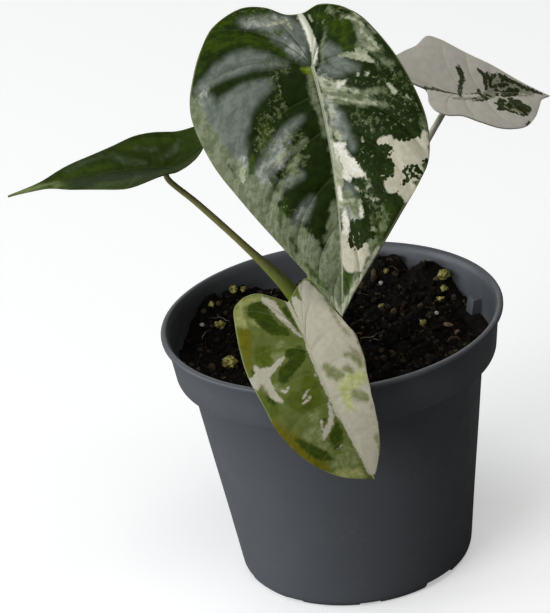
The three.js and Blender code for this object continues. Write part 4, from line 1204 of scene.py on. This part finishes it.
centre_back = leaf_material(
    "centre_leaf_back", (tint(84, 104, 62), tint(98, 118, 74)),
    [layer("sage", tint(140, 152, 118), tint(112, 128, 90), 0.8, 0.9, 0.6, 0.9, 1.4),
     layer("cream", tint(196, 192, 168), tint(176, 174, 146), 0.42, 1.0, 0.25, 0.95),
     layer("white", tint(204, 200, 180), tint(186, 184, 158), 0.42, 1.0, 0.25, 0.95),
     layer("islands", tint(96, 116, 70), tint(80, 100, 56), 0.5, 1.1, 0.25, 0.9)],
    (tint(170, 182, 130), 0.7, tint(190, 198, 150), 0.9), 0.5)
centre_blade = make_blade("blade_of_centre_leaf", centre, 104, 20, centre_strokes)
finish_blade(centre_blade, "blade_centre", centre_top, centre_back)


# ---- Left blade ----
# A smaller blade seen nearly edge on, plain dark green with a painted soft grey sheen and painted shade on
# its far half.

left = {
    "junction": (-50.7, 6, 153.3), "heading": -165.8, "pitch": 10.9, "roll": 9, "length": 55,
    "notch": (-3.5, -12.5), "rib_bow": 0, "sway": 0, "droop": 0.35, "lobe_droop": -3.2,
    "cup": -0.3, "puff": 0.35, "grooved": 0.3, "wave": (0.4, 0.4), "unevenness": 0.2,
    "vein_roots": [0, 0, 0, 5, 14, 25, 38, 55],
    "low": {
        "fold": (20, 10),
        "outline": [(-3.5, -12.5), (-5, -17.5), (-9.5, -20.5), (-13.5, -17), (-16, -9.4), (-17.5, -2),
                    (-16.6, 7.2), (-13.2, 16.1), (-9, 26.6), (-5.8, 34.9), (-2.6, 42.5), (-0.8, 49), (0, 55)],
        "reach": [0, 2, 3.7, 6, 7.4, 8.7, 10, 12],
    },
    "high": {
        "fold": (27, 10),
        "outline": [(-3.5, -12.5), (-0.5, -16.5), (4, -17), (8, -12), (11.8, -4.5), (16.2, 3.5), (20.5, 11),
                    (22.3, 18.5), (18.8, 26), (11.2, 34), (3.4, 41), (1.4, 47.8), (0, 55)],
        "reach": [0, 2, 3.6, 5.6, 7, 8.2, 9.4, 12],
    },
}
left_strokes = {
    "bright": [
        [(-3, 18, 1.4), (-2.6, 26, 1.5), (-1.5, 34, 1.8)], [(0, 37, 2), (4, 38, 3), (8, 36, 2)],
        [(-13, -4, 1.6), (-13, 4, 1.8), (-11, 12, 2)], [(16, 14, 2), (19, 19, 2.6), (15, 26, 2.6)],
    ],
    # These strokes paint a soft grey sheen: a painted reflection of the lights.
    "painted_grey_sheen": [
        [(-11, -9, 0.7), (-8.4, -6, 1), (-5.6, -2, 1), (-4, 0, 0.5)],
        [(-2.4, 7, 0.8), (-3.4, 11, 1.2), (-5, 14, 1.5), (-8, 17, 1.1)], [(-9, 2, 0.9), (-9.4, 8, 0.9)],
        [(12, 11.8, 0.3), (14, 12.4, 0.3)], [(-8, 21, 1), (-6.4, 27, 1), (-4.6, 33, 0.8)],
    ],
    # The deep stroke is painted shade: it darkens the far half, which the lights leave greyish.
    "deep": [[(4, 4, 3), (8, 12, 6), (12, 20, 8), (9, 30, 6)]],
    "tip": [[(1, 38, 0.8), (0.6, 44, 1.6), (0, 54, 2.4)], [(4, 38, 1.4)]],
}
left_top = leaf_material(
    "left_leaf_face", (tint(41, 56, 15), tint(51, 66, 21)),
    # The first layer is the painted shade on the far half.
    [layer("deep", tint(38, 56, 4), tint(29, 45, 2), 1.0, 0.3, 1.8, 0.9, 2.0),
     layer("bright", tint(66, 84, 26), tint(54, 72, 20), 0.8, 0.3, 1.4, 0.8),
     # This layer is the painted grey sheen.
     layer("painted_grey_sheen", tint(86, 98, 74), tint(66, 80, 50), 1.0, 0.4, 1.6, 0.7, 1.6),
     layer("tip", tint(136, 148, 98), tint(108, 124, 70), 0.6, 0.4, 1.4, 0.9)],
    (tint(80, 94, 52), 0.08, tint(84, 98, 48), 0.2), 0.5, tint(88, 100, 56))
left_back = leaf_material("left_leaf_back", (tint(74, 94, 56), tint(86, 106, 66)), [],
                          (tint(150, 164, 112), 0.6, tint(168, 180, 128), 0.85), 0.5)
left_blade = make_blade("blade_of_left_leaf", left, 60, 18, left_strokes)
finish_blade(left_blade, "blade_left", left_top, left_back)


# ---- Right blade ----
# A small blade behind on the right, almost wholly cream, with a few dark green marks and a painted shadow
# along the notch between its lobes.

right_leaf = {
    "junction": (51.5, 28, 159.5), "heading": 27.8, "pitch": -13, "roll": -42, "length": 43.3,
    "notch": (3.2, -10.5), "rib_bow": 0, "sway": 0, "droop": 0.3, "lobe_droop": 0.3,
    "cup": -0.5, "puff": 0.5, "grooved": 0.35, "rib_width": 0.5, "wave": (0.4, 0.5), "unevenness": 0.15,
    "vein_roots": [0, 0, 0, 4, 11, 20, 31, 43.3],
    "low": {
        "fold": (26, 12),
        "outline": [(3.2, -10.5), (-1, -12.2), (-5, -13.9), (-9.3, -13.6), (-12.6, -10.2), (-13, -4.5),
                    (-15.6, 1.3), (-17.8, 8), (-18, 15), (-16.6, 21.8), (-12, 28.3), (-6.5, 33.8),
                    (-2.2, 38), (0, 43.3)],
        "reach": [0, 2.2, 4, 6, 8, 9.6, 11, 13],
    },
    "high": {
        "fold": (16, 10),
        "outline": [(3.2, -10.5), (6, -15.8), (10.3, -22), (15, -21.3), (17.6, -16), (19.2, -10.5),
                    (22.3, -5.5), (21.2, -1), (17.6, 6.4), (13.3, 13.6), (8.9, 22), (3.8, 33), (0, 43.3)],
        "reach": [0, 2.3, 4.4, 7.2, 8.4, 9.6, 10.7, 12],
    },
}
right_strokes = {
    "islands": [
        # This first stroke is a painted shadow: the dark slit between the lobes at the notch.
        [(3.2, -11, 0.7), (2.6, -9, 0.8), (1.8, -6.6, 0.7), (0.8, -4, 0.6), (0, -2, 0.4),
         (-0.6, 0.4, 0.3)],
        [(-0.8, 4, 0.2), (-0.6, 9, 0.3)],
        [(-1.8, 0.9, 0.5), (0, 1.6, 0.9), (2, 2.2, 0.9), (4, 3, 0.9), (5.5, 4, 1.1), (7.5, 4, 1.2),
         (9.4, 3.3, 1.1), (9.8, 2.6, 0.5)],
        [(-5, 5, 0.3), (-4.6, 8, 0.6), (-4.2, 10, 0.4)],
        [(-3.6, 11, 0.9), (-1, 10, 1.2), (1, 9.8, 0.8)], [(-2.4, 13, 0.8), (-1, 12.4, 0.4)],
        [(1.4, 13.2, 0.7), (3.6, 13.3, 1.1), (5.8, 13.9, 1.2), (7.4, 13, 0.9), (8.8, 11.6, 0.5)],
        [(2, 15.4, 0.6), (4.4, 15.6, 0.8), (7, 15, 0.7)], [(5, 15, 0.4)],
        [(-9.6, 12.5, 0.6), (-9, 14, 1.2), (-9.5, 16, 1.2), (-10.6, 18, 0.7), (-11.6, 20.5, 0.6),
         (-12, 22.4, 0.5), (-11.2, 24.4, 0.8)],
        [(-6, 13, 0.5), (-7, 15, 1.3), (-5.2, 16.4, 1.2), (-4.8, 18, 1)],
        [(-8, 17.5, 1.2), (-7, 20.5, 1.5), (-8.4, 23.6, 1.7), (-7.6, 25.6, 1.9), (-8, 27.6, 0.9)],
        [(-6, 24, 2), (-5, 21.6, 1.5), (-3.8, 21, 0.9), (-3.5, 23, 0.5)],
        [(-2, 16.6, 0.6), (-0.4, 18, 0.5)], [(1.2, 17.4, 0.7), (0.7, 19, 0.4)],
        [(4.8, 16.4, 0.6), (6.2, 17.4, 0.9), (7, 19, 0.6)], [(4.4, 19.2, 0.4)],
        [(-0.2, 20.6, 1.2), (0.4, 23.4, 1.7), (0.6, 26, 1.5), (1.5, 27.8, 0.7)],
        [(6.6, 20.8, 1), (5.2, 23.4, 1.1), (4.4, 26, 0.9), (3.6, 28.2, 0.9), (2.6, 30.6, 0.9),
         (1.8, 33, 0.9), (1, 36, 0.8), (0.3, 39, 0.5)],
        [(-16.2, 21.4, 0.5), (-15, 23.4, 0.3)], [(2.2, 16.6, 0.6), (2.6, 19.6, 0.9), (3.2, 23, 0.9)],
        [(4.6, 21, 0.7), (5.4, 23.6, 0.9)], [(-2, 18.6, 0.7), (-1.4, 22.4, 1.2), (-0.4, 26, 1.3)],
        [(-10, 22.6, 1.2), (-8.6, 26.6, 1.6)], [(-3.8, 4.4, 0.3), (-3.4, 6.4, 0.4)],
    ],
    "sage": [
        [(-3.6, -2, 0.5), (-3.4, 2, 0.7), (-4, 6, 0.9)], [(2, 16, 2), (4, 20, 2.4), (2, 25, 2.6)],
        [(-4.6, 4, 0.6), (-4, 8, 1.2), (-2, 12, 2), (0, 16, 2.4)],
        [(2.6, 18, 2), (3, 24, 2), (1, 30, 1.4), (0, 34, 0.8)],
        [(-5, 17, 2), (-8, 20, 2.6), (-10, 24, 1.8)], [(-3.4, -3.2, 0.3), (-3.2, 0, 0.3)],
        [(-1.2, 19, 0.4), (-1.6, 28, 0.5), (-0.4, 34, 0.5)], [(6, 15.6, 1.6)],
    ],
    "gaps": [[(-9.4, 18.6, 0.5), (-10, 21, 0.8), (-10.6, 22.6, 0.4)], [(-7.4, 22, 0.3)]],
}
right_top = leaf_material(
    # The ground tones are a cream painted brighter than the real leaf: painted light for a blade the lamps
    # reach little.
    "right_leaf_face", (tint(235, 230, 217), tint(245, 240, 228)),
    [layer("sage", tint(158, 158, 132), tint(118, 122, 90), 0.9, 0.8, 0.6, 0.75, 1.0),
     layer("islands", tint(60, 76, 20), tint(36, 49, 7), 0.75, 0.8, 0.2, 0.96, 0.5, 0.3),
     layer("gaps", tint(186, 184, 158), tint(166, 166, 130), 0.2, 1.0, 0.2, 0.9)],
    (tint(206, 201, 182), 0.12, tint(190, 186, 160), 0.35), 0.5, tint(228, 223, 208))
right_back = leaf_material(
    "right_leaf_back", (tint(186, 182, 162), tint(194, 190, 170)),
    [layer("islands", tint(122, 134, 92), tint(104, 116, 76), 0.5, 1.2, 0.4, 0.8)],
    (tint(198, 200, 160), 0.5, tint(190, 194, 150), 0.8), 0.5)
right_blade = make_blade("blade_of_right_leaf", right_leaf, 60, 18, right_strokes)
finish_blade(right_blade, "blade_right", right_top, right_back)


# ---- Front blade ----
# The lowest blade leans out over the rim. One half is cream, the other olive green with dark
# green and white patches.

front = {
    "junction": (-9, -48, 108.8), "heading": -75.6, "pitch": -31.9, "roll": -30, "length": 52.6,
    "notch": (-1.2, -15.6), "rib_bow": 0, "sway": 0, "droop": 0.8, "lobe_droop": -0.5,
    "cup": -0.4, "puff": 0.5, "ruffle": 0.35, "wave": (0.3, 0.7), "unevenness": 0.15,
    "vein_roots": [0, 0, 0, 5, 13, 24, 37, 52.6],
    "low": {
        "fold": (10, 8),
        "outline": [(-1.2, -15.6), (-5, -19.5), (-9.5, -23.3), (-14.5, -24.3), (-19, -22.2), (-20.8, -16.5),
                    (-22.3, -8), (-23, 2), (-21.9, 14), (-20.8, 25), (-16.5, 37), (-9.5, 46.3), (0, 52.6)],
        "reach": [0, 2.4, 4.2, 6.6, 8.2, 9.3, 10.4, 12],
    },
    "high": {
        "fold": (10, 8),
        "outline": [(-1.2, -15.6), (2.4, -17.6), (7.5, -19.9), (10.3, -16.2), (12, -9.5), (14.6, 0.8),
                    (16.6, 8), (15.9, 16), (13.9, 25), (11.3, 34.5), (7.5, 43.4), (4, 48), (0, 52.6)],
        "reach": [0, 1.9, 3.4, 5.4, 7, 8.3, 9.5, 12],
    },
}
front_strokes = {
    "mid": [
        [(-15.6, -2, 3.2), (-15, 0.6, 2.9)], [(-4, 12, 2), (-5, 17, 3.4), (-6, 22, 3), (-11, 18, 3)],
        [(-19.6, 12, 1.4), (-19, 18, 2)],
    ],
    "olive": [
        [(-19, -12.4, 2.2), (-19.6, -8, 2.2), (-20.5, -4, 1.2), (-21.4, 1, 0.8), (-20.8, 4, 0.5)],
        [(-20.8, 21, 1.2), (-20.2, 24.6, 2), (-18.8, 28.4, 3.1), (-16.8, 32.6, 2.9), (-14.6, 37, 2.2),
         (-12.6, 41, 1.9)],
    ],
    "yellow": [
        [(-18, -20.4, 1.8), (-18.5, -17, 1.9), (-17.6, -14.4, 1)],
        [(-16, -22.8, 1.2), (-12, -22.4, 1.2), (-9.6, -21.4, 1)],
        [(-9, 45.6, 1.4), (-6, 47.2, 1.8), (-3, 48.8, 1.6)], [(-15.4, -15.2, 0.4), (-13.4, -12.4, 0.4)],
    ],
    "dark": [
        [(-12.2, -18, 3.1), (-9.8, -18.4, 2), (-11, -14.5, 2.8), (-10, -11, 2.4), (-8.4, -8, 2.2),
         (-6.4, -6.2, 1.6), (-5.2, -4.6, 0.6)],
        [(-6.6, 2.6, 1.9), (-4, 3.5, 2.4), (-4.4, 5.6, 2), (-7.6, 7, 2.2), (-10.6, 8, 2.4),
         (-11.8, 9.4, 1.8)],
        [(-3.2, -14, 0.8), (-2.8, -12, 0.9), (-2.3, -9.6, 0.5), (-1.9, -6, 0.3)],
        [(-0.5, -14, 0.3), (-0.1, -10, 0.4), (0.1, -5, 0.3)],
        [(-2.4, 31.4, 0.9), (-3.4, 33.4, 1.9), (-4.6, 35.4, 2.1), (-5.6, 37.4, 1.1)],
        [(-16, 30, 0.8), (-14, 33.5, 1.5), (-12.4, 36, 1.8), (-10.4, 38.4, 1.6), (-9, 40, 0.6)],
        [(-19, 13, 0.9), (-18, 15.6, 0.7)], [(-20.7, 2.6, 0.7), (-20.3, 4.2, 0.4)],
        [(-5.2, 27.9, 0.7), (-4, 28.4, 0.4)],
    ],
    "sage": [
        [(-8.2, -2.3, 1), (-9.8, -2, 0.5)], [(-12, 0.8, 1.2), (-11, 2.4, 1.8), (-8.8, 1.8, 1)],
        [(-15.2, 10.6, 1.1), (-14, 12.6, 1)], [(-8.2, 25.6, 1.5), (-5.6, 24.8, 0.9)],
        [(-12, 30, 1.9), (-9, 29.6, 1.8), (-10, 33, 1.6)], [(-9, 35.6, 1.6), (-8.6, 37.6, 0.9)],
        [(-9, 42, 1), (-6, 42.6, 2.3), (-3, 41, 2.2), (-3, 44, 1.5)],
        [(3, 12.6, 1.3), (4, 15.2, 2.1), (5.6, 17.2, 1.8), (7.4, 18, 0.8)],
        [(9.4, 16.6, 1.3), (10.6, 18.4, 0.9)],
        [(10.7, 12.2, 0.5), (12.4, 13.4, 0.9), (13.6, 15.2, 0.8), (14, 17.6, 0.6)],
        [(8.2, 25.6, 1.4), (10, 26.6, 1.8), (11, 28.2, 1.2)], [(8, 40.6, 1), (7.2, 42, 0.5)],
        [(-9, -9.6, 0.8), (-8, -9.4, 0.6)],
        [(-1.6, -15, 0.3), (-1.3, -12, 0.4), (-1.1, -8, 0.4), (-0.7, -4, 0.4)],
        [(12, -9, 0.5), (13.4, -3, 0.5)],
    ],
    "cream": [
        [(1.4, -15, 1.3), (2.4, -10, 2.4), (4, 0, 4), (5, 12, 5.2), (5, 25, 5.2), (4, 40, 4.4),
         (1.2, 49, 2.2)],
        [(6.4, -17, 2.4), (7.5, -10, 4), (9.5, 0, 5), (11.5, 8, 5), (10.5, 20, 5), (8.5, 30, 4.4),
         (6, 40, 3)],
        [(-8.6, -20.4, 0.9), (-6.6, -17.6, 1.5), (-5.8, -14.5, 1.2), (-5.3, -12, 1.1),
         (-4.3, -9.4, 0.9), (-3.4, -7, 0.7), (-2.3, -3.5, 0.5), (-1.2, -1.5, 0.4)],
        [(-22.3, 5, 1.4), (-21, 7.4, 1.4), (-19.5, 5, 1.9), (-18, 4.6, 1.9), (-16, 5.2, 1.8),
         (-14, 5, 1.1), (-11, 3.6, 1), (-9.3, 3, 0.6)],
        [(-19.4, 1.4, 0.7), (-19, 4, 1)],
        [(-18, 7, 2), (-17.5, 10, 1.5), (-17, 13, 1.3), (-16, 15.3, 0.9), (-15.3, 16.4, 0.5)],
        [(-13.8, 13, 0.5), (-12.8, 14, 0.4), (-11.5, 13, 0.4)],
        [(-8.4, 18.6, 0.25), (-7, 17.6, 0.35), (-5.4, 16.8, 0.25)],
        [(-9, 20, 0.35), (-7.2, 19.8, 0.5), (-6, 19, 0.35)], [(-1.8, 13.3, 0.4)],
        [(-1.5, 24, 0.4), (-1.9, 26, 0.7), (-2.6, 28, 0.9), (-4, 29.8, 0.9), (-5.4, 31, 1),
         (-7, 32, 0.9), (-8.2, 33.2, 0.5)],
        [(-7, 30, 0.4), (-6.2, 27.6, 0.3)], [(-5.6, 38.2, 0.25), (-4, 37.8, 0.3)],
        [(-0.6, 2, 0.4), (-0.6, 30, 0.4)],
    ],
    "pale": [
        [(6, 21.6, 2.4), (9.5, 21.2, 2.8), (12.4, 21.6, 2.2)], [(5.4, 24.5, 2), (4.8, 28, 1.4)],
        [(4.4, 18.6, 0.8), (5, 19, 0.6)], [(13, 21, 0.6), (14, 18, 0.5)],
    ],
    "brown": [
        [(-19.5, 8.4, 0.8), (-18.8, 12, 0.5)], [(13.4, 11, 0.6), (14.2, 14.6, 1), (14, 18, 0.7)],
        [(12.4, -4, 0.5), (13, 2, 0.6), (14.6, 7, 0.6)], [(11.6, 30.6, 0.3), (11, 32, 0.3)],
    ],
}
front_layers = [
    layer("mid", tint(76, 88, 20), tint(62, 74, 10), 1.0, 0.4, 1.2, 0.9, 1.6),
    layer("olive", tint(98, 94, 8), tint(84, 80, 5), 0.9, 0.3, 1.4, 0.95),
    layer("sage", tint(124, 130, 88), tint(98, 107, 58), 0.9, 0.5, 0.9, 0.85, 1.4),
    layer("yellow", tint(152, 152, 102), tint(132, 136, 74), 0.9, 0.4, 1.2, 0.9),
    layer("dark", tint(52, 67, 5), tint(38, 52, 3), 0.6, 0.6, 0.55, 0.97, 1.6, 0.15),
    # This cream is painted darker than the centre blade's cream: painted shade for a blade turned away from
    # the lights.
    layer("cream", tint(171, 166, 148), tint(163, 158, 139), 0.45, 0.8, 0.35, 1.0),
    layer("brown", tint(126, 118, 84), tint(108, 99, 64), 0.4, 0.5, 0.7, 0.7),
]
green_on_cream = layer("pale", tint(172, 174, 122), tint(148, 153, 90), 0.8, 0.4, 1.2, 0.9, 1.8)
sage_on_cream = layer("over_cream", tint(118, 122, 82), tint(98, 103, 60), 0.6, 0.45, 0.9, 0.92, 1.4)
front_strokes["over_cream"] = [line for line in front_strokes["sage"] if line[0][0] > 2]
front_top = leaf_material("front_leaf_face", (tint(80, 90, 36), tint(92, 102, 50)),
                          front_layers + [green_on_cream, sage_on_cream],
                          (tint(140, 146, 100), 0.08, tint(168, 164, 142), 0.9), 0.48)
front_back = leaf_material(
    "front_leaf_back", (tint(110, 128, 74), tint(122, 140, 86)),
    [layer("sage", tint(146, 154, 116), tint(128, 138, 92), 0.5, 0.7, 0.6, 0.8),
     layer("cream", tint(182, 178, 156), tint(168, 164, 140), 0.25, 0.9, 0.3, 0.95)],
    (tint(176, 186, 132), 0.6, tint(196, 200, 156), 0.85), 0.5)
front_blade = make_blade("blade_of_front_leaf", front, 60, 18, front_strokes)
finish_blade(front_blade, "blade_front", front_top, front_back)


# ---- Petioles ----
# Round juicy stalks, each with a widened sheath at its foot where it clasps the next one. They
# rise from the corm, bow outwards and end below the blade's junction.

crown, crown_seat, sheath_top = (-4.0, 10.0), 77.8, 90.0


def smooth_path(points, count):
    """Evenly spaced points on the smooth curve through a few points."""
    points = [np.array(p, float) for p in points]
    points = [2 * points[0] - points[1], *points, 2 * points[-1] - points[-2]]
    dense = []
    for a, b, c, d in zip(points[:-3], points[1:-2], points[2:-1], points[3:]):
        gaps = [max(np.linalg.norm(q - p), 1e-6) ** 0.5 for p, q in ((a, b), (b, c), (c, d))]
        leave = ((b - a) / gaps[0] - (c - a) / (gaps[0] + gaps[1]) + (c - b) / gaps[1]) * gaps[1]
        arrive = ((c - b) / gaps[1] - (d - b) / (gaps[1] + gaps[2]) + (d - c) / gaps[2]) * gaps[1]
        for t in np.linspace(0, 1, 60, endpoint=False):
            dense.append((2 * t ** 3 - 3 * t ** 2 + 1) * b + (t ** 3 - 2 * t ** 2 + t) * leave
                         + (3 * t ** 2 - 2 * t ** 3) * c + (t ** 3 - t ** 2) * arrive)
    dense.append(points[-2])
    dense = np.array(dense)
    run = np.concatenate([[0], np.cumsum(np.linalg.norm(np.diff(dense, axis=0), axis=1))])
    return np.column_stack([np.interp(np.linspace(0, run[-1], count), run, dense[:, k]) for k in range(3)])


def make_petiole(name, blade, foot, via, radii):
    """A petiole from the corm's seat to the underside of its blade."""
    base = (crown[0] + foot[0], crown[1] + foot[1])
    junction = np.array(blade["junction"], float)
    origin = np.array(0.0)
    down = -blade_normal(blade, origin, origin)
    depth = blade_thickness / 2 + float(rib_depth(blade, origin, origin)) + 0.3
    end = junction + down * depth
    onward = np.array(via[-1]) - end
    bisector = down + onward / np.linalg.norm(onward)
    neck = end + bisector / np.linalg.norm(bisector) * 2.5
    sheath = [(*base, crown_seat), (*base, (crown_seat + sheath_top) / 2), (*base, sheath_top)]
    points = [*sheath, *via, neck, end]
    count = 90
    path = smooth_path(points, count)
    path[-1] = junction + down * (depth - 0.8)
    girth = through(np.column_stack([radii, radii]), np.linspace(0, len(radii) - 1, count))[:, 0]
    return tube(name, [(path, girth)], 20)


def petiole_material(name, upper, lower, streak, neck, junction):
    """A stalk skin: a lower and an upper tone, fine streaks along it, and a darker neck tone by the blade,
    which is partly the stalk's own colour and partly painted shade under the blade.
    """
    material, tree, shader = new_material(name)
    where = object_place(tree)
    height = node(tree, "ShaderNodeSeparateXYZ", Vector=where).outputs[2]
    colour = blended(tree, ramped(tree, height, 0.09, 0.125), lower, upper)
    long_grain = node(tree, "ShaderNodeMapping", Vector=where, Scale=(900, 900, 90))
    lines = ramped(tree, grain_noise(tree, long_grain.outputs[0], 1.0, 3), 0.4, 0.7)
    colour = blended(tree, product(tree, lines, 0.5), colour, streak)
    from_blade = node(tree, "ShaderNodeVectorMath", {"operation": "DISTANCE"},
                      i0=where, i1=tuple(placed(junction)))
    # The neck tone is partly painted shade under the blade.
    colour = blended(tree, ramped(tree, from_blade.outputs["Value"], 0.009, 0.013), neck, colour)
    tree.links.new(colour, shader.inputs["Base Color"])
    shader.inputs["Roughness"].default_value = 0.42
    bumped(tree, shader, lines, 0.3, 0.0002)
    return material


petioles = [
    ("centre", centre, (0, 4.2), [(-4.5, 13.5, 112), (-1, 9, 150)], [2.6, 2.4, 1.8, 1.6, 1.4],
     tint(160, 172, 100), tint(120, 150, 50), tint(130, 140, 80), tint(150, 164, 84)),
    ("left", left, (-4.4, 0), [(-13.5, 10, 101), (-27.2, 8.5, 120.2), (-41.7, 7, 139)],
     [2.9, 2.8, 1.4, 1.15, 1],
     tint(150, 147, 90), tint(98, 126, 18), tint(128, 122, 76), tint(140, 138, 82)),
    # The right stalk's tones are raised above its own pale skin: painted light where the centre blade shades
    # it.
    ("right", right_leaf, (4.2, 0), [(14, 15, 110), (42.6, 26, 148)], [2.6, 2.2, 1.5, 1.25, 1.05],
     tint(226, 223, 204), tint(160, 172, 100), tint(206, 204, 180), tint(196, 194, 168)),
    ("front", front, (0, -4.2), [(-5, -16, 103)], [2.6, 2.1, 1.6, 1.4, 1.3],
     tint(180, 188, 130), tint(130, 155, 60), tint(150, 160, 100), tint(170, 178, 120)),
]
for name, blade, foot, via, radii, upper, lower, streak, neck in petioles:
    stalk = make_petiole("stalk_of_" + name + "_leaf", blade, foot, via, radii)
    stalk.data.materials.clear()
    skin = petiole_material("petiole_" + name, upper, lower, streak, neck, blade["junction"])
    stalk.data.materials.append(skin)
    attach(stalk, "root")
    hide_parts("petiole_" + name)
